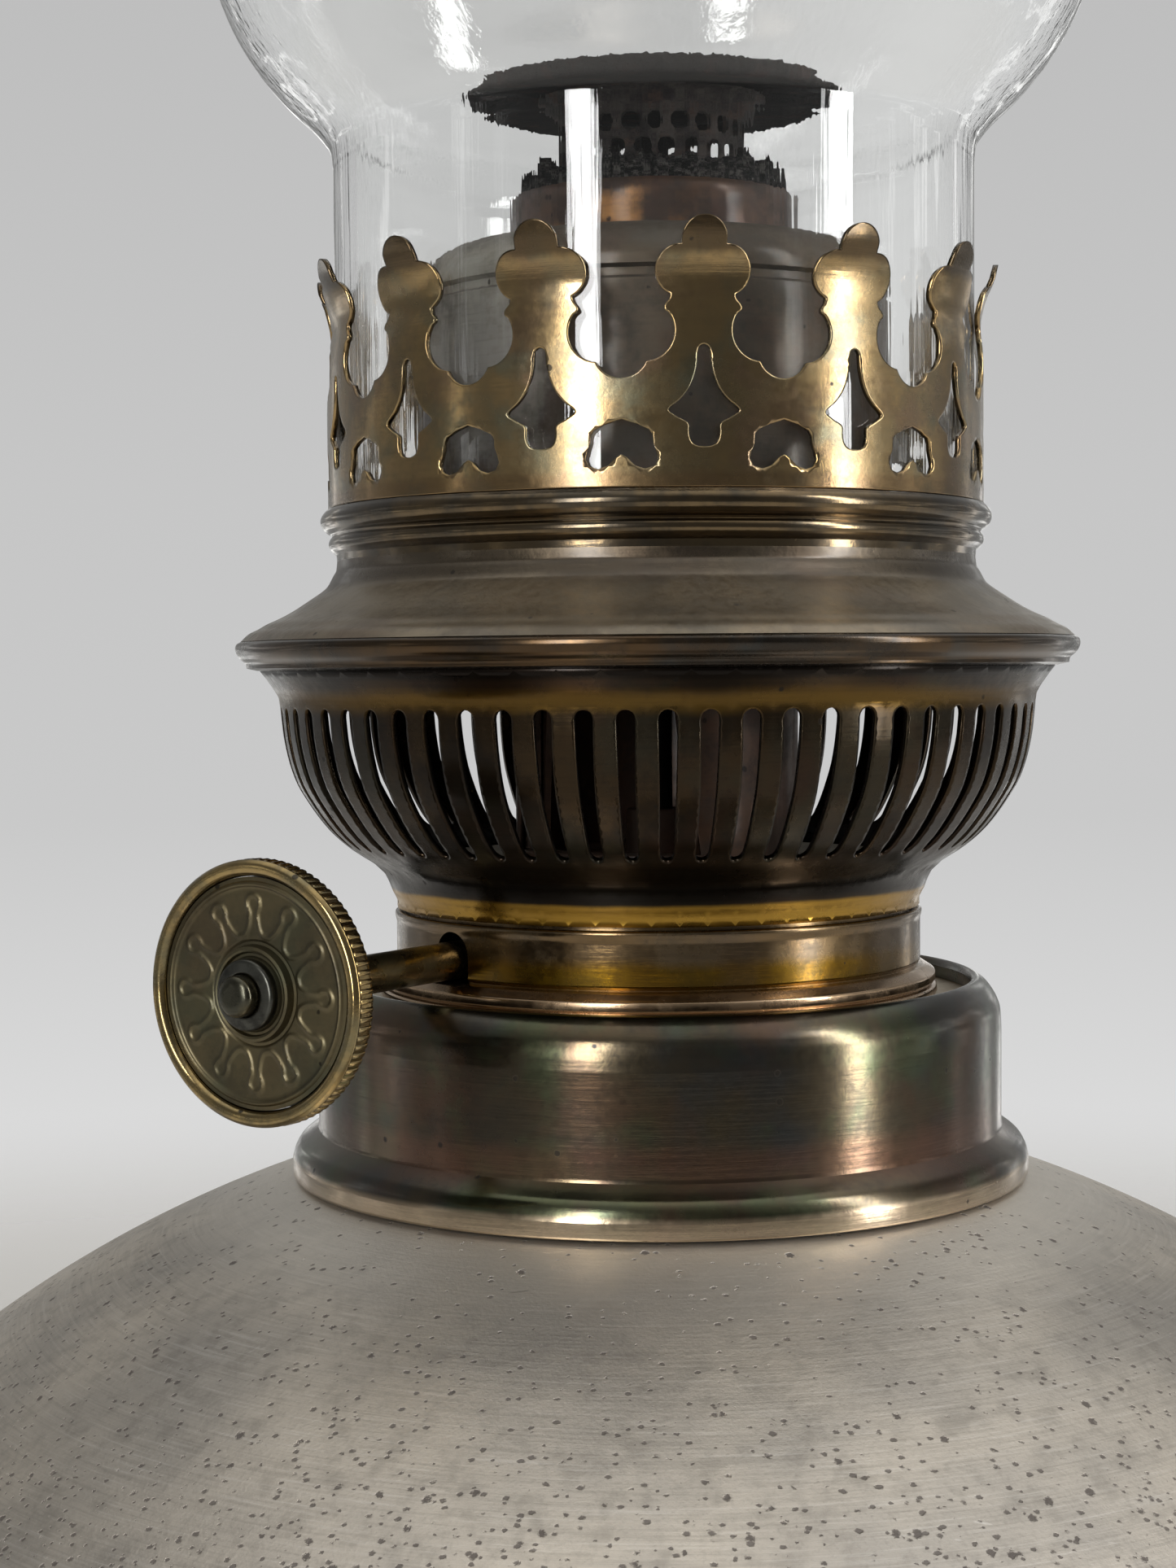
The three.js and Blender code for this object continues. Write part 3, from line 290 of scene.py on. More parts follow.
def spun(outline: Sequence[Point], around: int = 192) -> Form:
    """A body of revolution about Z.

    Args:
        outline: a closed outline of (radius, height) points. Where it touches the axis it is open there.
        around: how many facets it has round the axis.

    Returns:
        The form, with normals that keep flats flat beside their rounds.
    """
    points = np.array(outline, float)
    points = points[np.linalg.norm(points - np.roll(points, 1, axis=0), axis=1) > TINY]
    rolled = np.roll(points, -1, axis=0)
    if np.sum(points[:, 0] * rolled[:, 1] - rolled[:, 0] * points[:, 1]) < 0:
        points = points[::-1]
    steps = np.roll(points, -1, axis=0) - points
    lengths = np.linalg.norm(steps, axis=1)
    facing = np.column_stack([steps[:, 1], -steps[:, 0]]) / lengths[:, None]
    starts, ends = facing.copy(), facing.copy()
    for i in range(len(points)):
        if facing[i - 1] @ facing[i] > math.cos(math.radians(SPUN_CREASE)):
            joined = facing[i - 1] * lengths[i - 1] + facing[i] * lengths[i]
            starts[i] = ends[i - 1] = joined / np.linalg.norm(joined)
    made = Form(normals=[])
    rows: list[list[int]] = []
    for radius, height in points:
        if radius < TINY:
            rows.append([len(made.vertices)] * around)
            made.vertices.append((0.0, 0.0, float(height)))
        else:
            first = made.ring(radius, float(height), around)
            rows.append(list(range(first, first + around)))
    for low, high, start, end in zip(rows, [*rows[1:], rows[0]], starts, ends):
        low_tip, high_tip = low[0] == low[1], high[0] == high[1]
        for k in range(0 if low_tip and high_tip else around):
            n = (k + 1) % around
            corners = [(low, start, k), (low, start, n), (high, end, n), (high, end, k)]
            if low_tip or high_tip:
                corners.pop(1 if low_tip else 3)
            made.faces.append(tuple(row[j] for row, _, j in corners))
            for _, (out, up), j in corners:
                turn = 2 * math.pi * j / around
                made.normals.append((float(out) * math.cos(turn), float(out) * math.sin(turn), float(up)))
    return made


def turned(*outline: tuple[float, ...], around: int = 192) -> Form:
    """A body of revolution whose outline's points may each have a round, as for soften."""
    return spun(soften(outline), around)


def threaded(bore: float, outer: float, low: float, high: float, outside: bool) -> Form:
    """A ring with a screw thread on one face.

    Args:
        bore: its inner radius.
        outer: its outer radius.
        low: its lower end.
        high: its upper end.
        outside: True where the thread is on the outer face.

    Returns:
        The form.
    """
    around, levels = 144, max(24, round((high - low) / THREAD_PITCH * 10))
    made = Form()
    for z in spaced(low, high, levels):
        ease = max(min(1.0, min(z - low, high - z) / (0.5 * THREAD_PITCH)), 0.0)
        for k in range(around):
            turn = 2 * math.pi * k / around
            wave = 0.5 + 0.5 * math.cos(2 * math.pi * (z / THREAD_PITCH - k / around))
            cutting = THREAD_DEPTH * wave * ease
            radius = outer - cutting if outside else bore + cutting
            made.vertices.append((radius * math.cos(turn), radius * math.sin(turn), z))
    plain_low, plain_high = (made.ring(bore if outside else outer, z, around) for z in (low, high))
    top = levels * around
    starts = [*range(0, top + 1, around), plain_high, plain_low, 0]
    for start, end in zip(starts, starts[1:]):
        made.band(start, end, around)
    if not outside:
        made.faces = [tuple(reversed(face)) for face in made.faces]
    return made


def joined_mesh(mesh: bpy.types.Mesh, form: Form, name: str) -> bpy.types.Mesh:
    """A mesh and a form as one mesh."""
    both = Form([tuple(v.co / MM) for v in mesh.vertices], [tuple(p.vertices) for p in mesh.polygons])
    return both.add(form).mesh(name, JOINED_CREASE)


def cut_out(body: Form, tool: Form, name: str) -> bpy.types.Mesh:
    """A body with a tool's shape cut out of it.

    Args:
        body: what is cut.
        tool: the shape that is taken away.
        name: the piece's name.

    Returns:
        The cut mesh, smooth between its sharp edges.
    """
    label = name + "_cut"
    pair = [placed(label, Form(form.vertices, form.faces).mesh(label)) for form in (body, tool)]
    modifier = pair[0].modifiers.new("Cut", "BOOLEAN")
    modifier.operation = "DIFFERENCE"
    modifier.solver = "EXACT"
    modifier.object = pair[1]
    made = evaluated(pair[0], name + "_mesh")
    made.set_sharp_from_angle(angle=math.radians(CUT_CREASE))
    for item in pair:
        bpy.data.objects.remove(item)
    return made


def inside_loop(point: Point, loop: Sequence[Point]) -> bool:
    """True where a point lies inside a closed loop."""
    hit = False
    for (ax, ay), (bx, by) in zip(loop, [*loop[1:], loop[0]]):
        if (ay > point[1]) != (by > point[1]):
            if point[0] < (bx - ax) * (point[1] - ay) / (by - ay) + ax:
                hit = not hit
    return hit


def along(path: Sequence[Point]) -> Callable[[float], Point]:
    """A look-up of the (radius, height) point of a rising path by its height."""
    radii, heights = zip(*path)
    return lambda y: (float(np.interp(y, heights, radii)), y)


def straight(radius: float) -> Callable[[float], Point]:
    """A look-up for an upright wall of one radius."""
    return lambda y: (radius, y)


@dataclass
class Pierced:
    """One repeat of a pierced sheet, drawn flat as (angle, height) and wrapped round the axis.

    The angle is in radians. outer and inner look up the sheet's faces, and reference is a radius that makes
    the angle about as long as the height. grid is the size of the triangles, lip that of the ones at an edge.
    """

    border: list[Point]
    holes: list[list[Point]]
    half_turn: float
    outer: Callable[[float], Point]
    inner: Callable[[float], Point]
    reference: float
    grid: float = 0.8
    lip: float = 0.14

    def _flat(self) -> tuple[list[Point], list[tuple[int, ...]]]:
        """Cuts the flat pattern into triangles.

        Returns:
            The points, in millimetres both ways, and the triangles that are sheet and not hole.
        """
        loops = [[(x * self.reference, y) for x, y in loop] for loop in [self.border, *self.holes]]
        points: list[Point] = []
        edges: list[tuple[int, int]] = []
        for loop in loops:
            first = len(points)
            points.extend(loop)
            edges.extend((first + i, first + (i + 1) % len(loop)) for i in range(len(loop)))
        corners = np.array(points)

        def is_sheet(p: Point) -> bool:
            """True where the flat pattern has metal."""
            return inside_loop(p, loops[0]) and not any(inside_loop(p, hole) for hole in loops[1:])

        def is_free(p: Point, reach: float) -> bool:
            """True where there is metal and no corner within reach."""
            return np.min(np.hypot(*(corners - p).T)) > reach and is_sheet(p)

        low, high = corners.min(0), corners.max(0)
        columns, levels = (max(2, round(span / self.grid)) for span in high - low)
        for x in spaced(low[0], high[0], columns)[1:-1]:
            for y in spaced(low[1], high[1], levels)[1:-1]:
                if is_free((x, y), 0.45 * self.grid):
                    points.append((x, y))
        edge = self.half_turn * self.reference
        for loop in loops:
            ring = np.array(loop)
            ways = unit_rows(np.roll(ring, -1, axis=0) - np.roll(ring, 1, axis=0))
            for side in (1, -1):
                for p, way in zip(ring, ways):
                    q = (p[0] - side * self.lip * way[1], p[1] + side * self.lip * way[0])
                    is_seam = min(edge - abs(p[0]), edge - abs(q[0])) < 0.3 * self.lip
                    if not is_seam and is_free(q, 0.7 * self.lip):
                        points.append(q)
        found = delaunay_2d_cdt([Vector(p) for p in points], edges, [], 0, 1e-6)
        places = [(v.x, v.y) for v in found[0]]
        kept = []
        for triangle in found[2]:
            a, b, c = (places[i] for i in triangle)
            middle = np.mean([a, b, c], axis=0)
            if is_sheet((float(middle[0]), float(middle[1]))):
                area = (b[0] - a[0]) * (c[1] - a[1]) - (b[1] - a[1]) * (c[0] - a[0])
                kept.append(tuple(triangle) if area > 0 else tuple(reversed(triangle)))
        return places, kept

    def form(self) -> Form:
        """The repeat as a closed sheet, but for the two sides where it joins its neighbours."""
        places, triangles = self._flat()
        made = Form()
        for face in (self.outer, self.inner):
            for x, y in places:
                radius, height = face(y)
                turn = x / self.reference
                made.vertices.append((radius * math.cos(turn), radius * math.sin(turn), height))
        behind = len(places)
        made.faces.extend(triangles)
        made.faces.extend(tuple(i + behind for i in reversed(face)) for face in triangles)
        edges = {(face[i], face[(i + 1) % 3]) for face in triangles for i in range(3)}
        side = self.half_turn * self.reference - 1e-4
        for a, b in edges:
            here, there = places[a][0], places[b][0]
            is_seam = abs(here) > side and abs(there) > side and here * there > 0
            if (b, a) not in edges and not is_seam:
                made.faces.append((b, a, a + behind, b + behind))
        used = sorted({i for face in made.faces for i in face})
        number = {old: new for new, old in enumerate(used)}
        made.vertices = [made.vertices[i] for i in used]
        made.faces = [tuple(number[i] for i in face) for face in made.faces]
        return made


class RoundRepeat:
    """A Geometry Nodes tree that sets copies of a form round the Z axis."""

    def __init__(self, name: str) -> None:
        """Lays out the tree, with named inputs for its sizes.

        Args:
            name: the tree's name.
        """
        self.tree = bpy.data.node_groups.new(name, "GeometryNodeTree")
        face = self.tree.interface
        face.new_socket("Geometry", in_out="INPUT", socket_type="NodeSocketGeometry")
        kinds = {"Copies": "Int", "First angle": "Float", "Weld distance": "Float", "Finish": "Material"}
        self.sockets = {
            label: face.new_socket(label, in_out="INPUT", socket_type="NodeSocket" + kind)
            for label, kind in kinds.items()
        }
        face.new_socket("Geometry", in_out="OUTPUT", socket_type="NodeSocketGeometry")
        start, end, spots, index, pitch, turn, about, copies, real, welded, dressed = (
            self.tree.nodes.new(kind)
            for kind in (
                "NodeGroupInput", "NodeGroupOutput", "GeometryNodePoints", "GeometryNodeInputIndex",
                "ShaderNodeMath", "ShaderNodeMath", "ShaderNodeCombineXYZ", "GeometryNodeInstanceOnPoints",
                "GeometryNodeRealizeInstances", "GeometryNodeMergeByDistance", "GeometryNodeSetMaterial",
            )
        )
        pitch.operation, turn.operation = "DIVIDE", "MULTIPLY_ADD"
        pitch.inputs[0].default_value = 2 * math.pi
        for source, output, target, entry in (
            (start, "Copies", spots, "Count"),
            (start, "Copies", pitch, 1),
            (index, 0, turn, 0),
            (pitch, 0, turn, 1),
            (start, "First angle", turn, 2),
            (turn, 0, about, "Z"),
            (spots, 0, copies, "Points"),
            (start, "Geometry", copies, "Instance"),
            (about, 0, copies, "Rotation"),
            (copies, 0, real, 0),
            (real, 0, welded, "Geometry"),
            (start, "Weld distance", welded, "Distance"),
            (welded, 0, dressed, "Geometry"),
            (start, "Finish", dressed, "Material"),
            (dressed, 0, end, 0),
        ):
            self.tree.links.new(source.outputs[output], target.inputs[entry])

    def repeated(self, form: Form, name: str, copies: int, first: float, finish: "Finish") -> bpy.types.Mesh:
        """Sets copies of a form round the axis and returns them as one plain mesh.

        Args:
            form: one repeat.
            name: the mesh's name.
            copies: how many there are.
            first: the angle of the first one, in radians.
            finish: the finish of all of them.

        Returns:
            The mesh, with the neighbours' edges welded.
        """
        carrier = placed(name + "_repeat", form.mesh(name + "_one", NO_CREASE))
        modifier = carrier.modifiers.new("Round repeat", "NODES")
        modifier.node_group = self.tree
        for socket, value in zip(self.sockets.values(), (copies, first, 0.004 * MM, finish.material())):
            modifier[socket.identifier] = value
        made = evaluated(carrier, name)
        bpy.data.objects.remove(carrier)
        return made


# Shader benches -------------------------------------------------------------


def _operator(operation: str, is_swapped: bool = False) -> Callable[["Amount", "Amount | float"], "Amount"]:
    """An operator of Amount that adds one step of arithmetic.

    Args:
        operation: what the step does.
        is_swapped: True where the other number stands on the left.

    Returns:
        The operator's method.
    """

    def step(self: "Amount", other: "Amount | float") -> "Amount":
        """The result of the arithmetic."""
        return self.bench.maths(operation, *((other, self) if is_swapped else (self, other)))

    return step


class Amount:
    """A socket of a shader tree, with the arithmetic of plain numbers."""

    def __init__(self, bench: "Bench", socket: bpy.types.NodeSocket) -> None:
        """Keeps the socket and the bench that it lies on."""
        self.bench = bench
        self.socket = socket

    __add__ = _operator("ADD")
    __radd__ = _operator("ADD", is_swapped=True)
    __sub__ = _operator("SUBTRACT")
    __rsub__ = _operator("SUBTRACT", is_swapped=True)
    __mul__ = _operator("MULTIPLY")
    __rmul__ = _operator("MULTIPLY", is_swapped=True)
    __truediv__ = _operator("DIVIDE")

    def rise(self, low: float, high: float) -> "Amount":
        """A smooth step from 0 at low to 1 at high."""
        values = {"Value": self, "From Min": low, "From Max": high}
        return self.bench.node("ShaderNodeMapRange", {"interpolation_type": "SMOOTHSTEP"}, values)


class Bench:
    """The node tree of one material or world while it is laid out."""

    def __init__(self, tree: bpy.types.NodeTree) -> None:
        """Clears the tree."""
        self.tree = tree
        tree.nodes.clear()

    def node(
        self,
        kind: str,
        settings: dict[str, object] | None = None,
        values: dict[str | int, object] | None = None,
        output: str | int = 0,
    ) -> Amount:
        """Adds a node.

        Args:
            kind: the node's type.
            settings: its properties, set before its sockets. stops are a ramp's stops.
            values: numbers, colours or amounts for its sockets, by name or by place.
            output: the output that is wanted, by name or by place.

        Returns:
            That output.
        """
        made = self.tree.nodes.new(kind)
        for name, value in (settings or {}).items():
            if name != "stops":
                setattr(made, name, value)
                continue
            ramp = made.color_ramp
            while len(ramp.elements) < len(value):
                ramp.elements.new(0.5)
            for stop, (place, colour) in zip(ramp.elements, value):
                stop.position = place
                stop.color = colour
        for name, value in (values or {}).items():
            if isinstance(value, Amount):
                self.tree.links.new(value.socket, made.inputs[name])
            else:
                made.inputs[name].default_value = value
        return Amount(self, made.outputs[output] if len(made.outputs) else None)

    def maths(self, operation: str, left: Amount | float, right: Amount | float = 0.0) -> Amount:
        """One step of arithmetic on amounts or numbers."""
        return self.node("ShaderNodeMath", {"operation": operation}, {0: left, 1: right})

    def place(self) -> Amount:
        """The point on the piece, in metres."""
        return self.node("ShaderNodeTexCoord", output="Object")

    def parts(self, vector: Amount) -> list[Amount]:
        """The three parts of a vector."""
        made = self.node("ShaderNodeSeparateXYZ", values={0: vector})
        return [Amount(self, output) for output in made.socket.node.outputs]

    def rays(self, *kinds: str) -> list[Amount]:
        """Whether a ray is of each kind that is named, as 0 or 1."""
        outputs = self.node("ShaderNodeLightPath").socket.node.outputs
        return [Amount(self, outputs[kind]) for kind in kinds]

    def stretched(self, vector: Amount, x: float, y: float, z: float) -> Amount:
        """The vector with each part times its own number."""
        return self.node("ShaderNodeVectorMath", {"operation": "MULTIPLY"}, {0: vector, 1: (x, y, z)})

    def shifted(self, vector: Amount, by: float) -> Amount:
        """The vector moved aside, so that two patterns don't match."""
        return self.node("ShaderNodeVectorMath", {"operation": "ADD"}, {0: vector, 1: (by, 2 * by, -by)})

    def slanted(self, vector: Amount, turn: Spot, scale: Spot) -> Amount:
        """The vector scaled and turned, for long marks that lie aslant."""
        values = {"Vector": vector, "Rotation": turn, "Scale": scale}
        return self.node("ShaderNodeMapping", {"vector_type": "POINT"}, values)

    def cloud(self, vector: Amount, size: float, detail: float = 4.0, rough: float = 0.55) -> Amount:
        """Cloudy variation from 0 to 1, with blots of about the size given in millimetres."""
        values = {"Vector": vector, "Scale": 1 / (size * MM), "Detail": detail, "Roughness": rough}
        return self.node("ShaderNodeTexNoise", {"noise_dimensions": "3D"}, values)

    def apart(self, vector: Amount, centre: Spot) -> Amount:
        """The distance from a point given in millimetres, in metres."""
        spot = tuple(v * MM for v in centre)
        return self.node("ShaderNodeVectorMath", {"operation": "DISTANCE"}, {0: vector, 1: spot}, "Value")

    def pits(
        self, vector: Amount, size: float, radius: float, share: Amount | float, wander: Amount
    ) -> Amount:
        """Scattered pits with uneven edges.

        Args:
            vector: the point on the piece.
            size: how far apart the places for a pit are, in millimetres.
            radius: how large a pit is, in millimetres.
            share: how many of the places have one, from 0 to 1.
            wander: variation from 0 to 1 that makes the edges uneven.

        Returns:
            1 in a pit and 0 beside it.
        """
        values = {"Vector": vector, "Scale": 1 / (size * MM), "Randomness": 1.0}
        away = self.node("ShaderNodeTexVoronoi", {"feature": "F1"}, values, "Distance")
        luck = self.parts(Amount(self, away.socket.node.outputs["Color"]))
        reach = (away * size + (wander - 0.5) * 1.2 * radius) / (0.35 + luck[1] * 0.65)
        return (1 - reach.rise(0.55 * radius, radius)) * self.maths("LESS_THAN", luck[0], share)

    def blend(self, share: Amount | float, under: Amount | Colour, over: Amount | Colour) -> Amount:
        """A colour with a share of another one laid over it."""
        settings = {"data_type": "RGBA", "blend_type": "MIX", "clamp_factor": True}
        return self.node("ShaderNodeMix", settings, {0: share, 6: under, 7: over}, 2)

    def layered(self, colour: Amount, *covers: tuple[Amount | float, Amount | Colour]) -> Amount:
        """A colour with others laid over it in turn, each given as its share and its colour."""
        for share, over in covers:
            colour = self.blend(share, colour, over)
        return colour

    def relief(self, *layers: tuple[Amount, float]) -> Amount:
        """Bumps over one another, each given as its height from 0 to 1 and its depth in millimetres."""
        over = {}
        for height, depth in layers:
            values = {"Height": height, "Strength": 1.0, "Distance": depth * MM, **over}
            over = {"Normal": self.node("ShaderNodeBump", values=values, output="Normal")}
        return over["Normal"]

    def spun_round(self, place: Amount, across: float, up: float, lean: float = 0.6) -> Amount:
        """A vector for marks that run round the Z axis.

        Args:
            place: the point on the piece.
            across: how long the marks are, in millimetres.
            up: how wide they are, in millimetres.
            lean: how much the radius counts beside the height.

        Returns:
            The vector, for a cloud of size 1.
        """
        x, y, z = self.parts(place)
        radius = self.maths("SQRT", x * x + y * y) + TINY
        length = MARK_RADIUS / across
        along_x, along_y = (part / radius * length * MM for part in (x, y))
        return self.node("ShaderNodeCombineXYZ", values={0: along_x, 1: along_y, 2: (z + radius * lean) / up})

    def shader(self, **values: Amount | float | Colour) -> Amount:
        """A Principled shader. Names are its sockets, with _ for a space."""
        named = {name.replace("_", " "): value for name, value in values.items()}
        return self.node("ShaderNodeBsdfPrincipled", values=named)

    def surface(self, shader: Amount) -> None:
        """Ends a material with a shader."""
        self.node("ShaderNodeOutputMaterial", values={"Surface": shader})


_MADE: dict[str, bpy.types.Material] = {}


@dataclass(frozen=True)
class Band:
    """A band of colour that runs round a piece between two heights in millimetres, used for stained bands
    and, on some pieces, for painted highlights and painted shade.
    """

    low: float
    high: float
    colour: Colour
    share: float = 0.8
    fade: float = 0.3

    def cover(self, bench: Bench, place: Amount, wander: Amount) -> Amount:
        """How much of the band's colour lies on each point, with an uneven edge."""
        height = bench.parts(place)[2] / MM + (wander - 0.5) * 2 * self.fade
        start, end = (height.rise(edge - self.fade, edge + self.fade) for edge in (self.low, self.high))
        return start * (1 - end) * self.share


@dataclass(frozen=True)
class Blot:
    """A patch of colour round one point of a piece, in millimetres, used for stained patches and, on the
    drum, for painted reflections.
    """

    centre: Spot
    radius: float
    colour: Colour
    share: float = 0.8

    def cover(self, bench: Bench, place: Amount, wander: Amount) -> Amount:
        """How much of the blot's colour lies on each point, with an uneven edge."""
        away = bench.apart(place, self.centre) / MM + (wander - 0.5) * 1.6 * self.radius
        return (1 - away.rise(0.3 * self.radius, self.radius)) * self.share


@dataclass(frozen=True)
class Finish:
    """A finish of the lamp. The slot is the material of the record that it stands for."""

    slot: str
    label: str

    def lay(self, bench: Bench) -> None:
        """Lays out the nodes. Each kind of finish has its own."""
        raise NotImplementedError

    def material(self) -> bpy.types.Material:
        """The finish's material, made once."""
        if self.label not in _MADE:
            made = bpy.data.materials.new(self.label)
            made.use_nodes = True
            self.lay(Bench(made.node_tree))
            _MADE[self.label] = made
        return _MADE[self.label]


@dataclass(frozen=True)
class AgedMetal(Finish):
    """Brass that has darkened in patches, with tints, spots, fine turned lines, dust, and bands and blots of
    colour: stained patches, and on some pieces painted highlights, painted shade and painted reflections.
    """

    metal: Colour
    patina: Colour
    tints: tuple[Colour, ...] = ()
    tint_share: float = 0.55
    stains_and_painted_light: tuple[Band | Blot, ...] = ()
    spot: Colour = (0.012, 0.01, 0.008, 1.0)
    spot_share: float = 0.16
    dust: Colour = (0.42, 0.38, 0.31, 1.0)
    dust_share: float = 0.0
    dull: float = 0.0
    patch: float = 7.0
    patina_from: float = 0.4
    patina_to: float = 0.62
    smooth: float = 0.22
    rough: float = 0.36
    brushed: float = 0.01
    lined: float = 0.35
    coat: float = 0.5

    def lay(self, bench: Bench) -> None:
        """Lays out the aged metal.

        Args:
            bench: the bench of its material.
        """
        place = bench.place()
        patches = bench.cloud(place, self.patch, 6.0, 0.62)
        fine = bench.cloud(bench.shifted(place, 0.13), 0.7, 4.0, 0.6)
        lines = bench.cloud(bench.spun_round(place, 6.0, 0.3), 1.0, 3.0)
        aged = (patches + (fine - 0.5) * 0.16).rise(self.patina_from, self.patina_to)
        colour = bench.blend(aged, self.metal, self.patina)
        for i, tint in enumerate(self.tints):
            spread = bench.cloud(bench.shifted(place, 0.31 + 0.17 * i), self.patch * (0.95 - 0.2 * i))
            colour = bench.blend(spread.rise(0.48, 0.66) * self.tint_share, colour, tint)
        # Bands and blots: stained patches, and on the basket, cone, crown, collar foot and drum painted
        # highlights, painted shade and painted reflections.
        for marking in self.stains_and_painted_light:
            colour = bench.blend(marking.cover(bench, place, patches), colour, marking.colour)
        dark = bench.blend(0.45, colour, BLACK)
        spots = bench.pits(bench.shifted(place, 0.07), 1.5, 0.34, self.spot_share, fine)
        up = bench.parts(bench.node("ShaderNodeNewGeometry", output="Normal"))[2].rise(0.25, 0.95)
        settled = up * (0.35 + fine * 1.1) * self.dust_share + (0.7 + patches * 0.6) * self.dull
        dusty = bench.maths("MINIMUM", settled, 1.0)
        colour = bench.layered(
            colour,
            (lines.rise(0.5, 0.72) * self.lined, dark),
            (fine.rise(0.52, 0.75) * 0.3, dark),
            (spots * 0.85, self.spot),
            (dusty, self.dust),
        )
        roughness = self.smooth + (self.rough - self.smooth) * aged + (fine - 0.5) * 0.12
        bench.surface(
            bench.shader(
                Base_Color=colour,
                Metallic=1 - dusty,
                Roughness=bench.maths("MAXIMUM", roughness + dusty * 0.45 + spots * 0.3, 0.08),
                Coat_Weight=(1 - dusty) * self.coat,
                Coat_Roughness=0.2,
                Normal=bench.relief((lines, self.brushed), (fine, self.brushed)),
            )
        )


@dataclass(frozen=True)
class Pewter(Finish):
    """Warm grey satin pewter with a fine grain, pale scratches and dark pits that crowd downwards."""

    pale: Colour = shade(206, 197, 184)
    grey: Colour = shade(172, 166, 158)
    pit: Colour = shade(92, 85, 82)
    worn: Colour = shade(236, 230, 220)

    def lay(self, bench: Bench) -> None:
        """Lays out the pewter.

        Args:
            bench: the bench of its material.
        """
        place = bench.place()
        height = bench.parts(place)[2] / MM
        broad = bench.cloud(place, 20.0)
        mottle = bench.cloud(bench.shifted(place, 0.2), 2.2, 5.0, 0.62)
        fine = bench.cloud(bench.shifted(place, 0.4), 0.32, 3.0, 0.65)
        lines = bench.cloud(bench.spun_round(place, 4.0, 0.3, -0.8), 1.0, 4.0, 0.6)
        low = 1 - height.rise(100.0, 128.0)
        flocks = bench.cloud(bench.shifted(place, 0.8), 7.0, 2.0, 0.5).rise(0.35, 0.65)
        often = (0.16 + low * 0.7 + flocks * (0.1 + low * 0.6)) * 0.9
        seldom = 0.06 + low * 0.5 + flocks * (0.08 + low * 0.4)
        gnawed = bench.cloud(bench.shifted(place, 0.9), 0.24, 3.0, 0.65)
        stubby = bench.stretched(bench.shifted(place, 0.11), 0.8, 1.0, 1.2)
        small = bench.pits(stubby, 0.64, 0.28, often, gnawed)
        large = bench.pits(bench.shifted(place, 0.53), 1.5, 0.46, seldom, gnawed)
        pitted = bench.maths("MAXIMUM", small * 0.8, large * 0.9)
        scratches = bench.cloud(bench.slanted(place, (0.4, 0.9, 0.6), (0.05, 1.0, 1.0)), 0.42, 2.0, 0.4)
        scratches = scratches.rise(0.7, 0.76) * broad.rise(0.45, 0.6)
        colour = bench.blend(broad.rise(0.3, 0.7), self.pale, self.grey)
        darker = bench.blend(0.4, colour, (0.02, 0.018, 0.015, 1.0))
        paler = bench.blend(0.35, colour, (1.0, 0.98, 0.95, 1.0))
        colour = bench.layered(
            colour,
            (mottle.rise(0.45, 0.7) * 0.55, darker),
            (fine.rise(0.5, 0.7) * 0.25, darker),
            (lines.rise(0.48, 0.7) * 0.36, darker),
            ((1 - lines.rise(0.3, 0.46)) * 0.34 + scratches * 0.5, paler),
            (height.rise(122.5, 127.8) * 0.6, self.worn),
            (pitted * 0.9, self.pit),
        )
        roughness = 0.42 + mottle * 0.12 + pitted * 0.2 - scratches * 0.12
        bump = bench.relief((lines, 0.015), (fine * 0.5 + mottle * 0.5, 0.05), (1 - pitted, 0.07))
        bench.surface(bench.shader(Base_Color=colour, Metallic=1.0, Roughness=roughness, Normal=bump))


@dataclass(frozen=True)
class Soot(Finish):
    """Metal burnt black and brown, with flaking soot."""

    black: Colour = shade(6, 5, 5)
    grey: Colour = shade(24, 19, 18)
    rust: Colour = shade(48, 22, 16)
    gloss: float = 0.08

    def lay(self, bench: Bench) -> None:
        """Lays out the soot.

        Args:
            bench: the bench of its material.
        """
        place = bench.place()
        blots = bench.cloud(place, 3.8, 6.0, 0.68)
        crumbs = bench.cloud(bench.shifted(place, 0.2), 0.34, 4.0, 0.72)
        rusty = bench.cloud(bench.shifted(place, 0.6), 2.4, 5.0, 0.62)
        colour = bench.layered(
            bench.blend(blots.rise(0.38, 0.64), self.black, self.grey),
            (rusty.rise(0.52, 0.66) * 0.7, self.rust),
            (crumbs.rise(0.52, 0.72) * 0.6, (0.006, 0.005, 0.005, 1.0)),
        )
        bench.surface(
            bench.shader(
                Base_Color=colour,
                Metallic=0.0,
                Roughness=0.62 + crumbs * 0.35,
                Specular_IOR_Level=self.gloss,
                Normal=bench.relief((crumbs, 0.12), (blots, 0.16)),
            )
        )


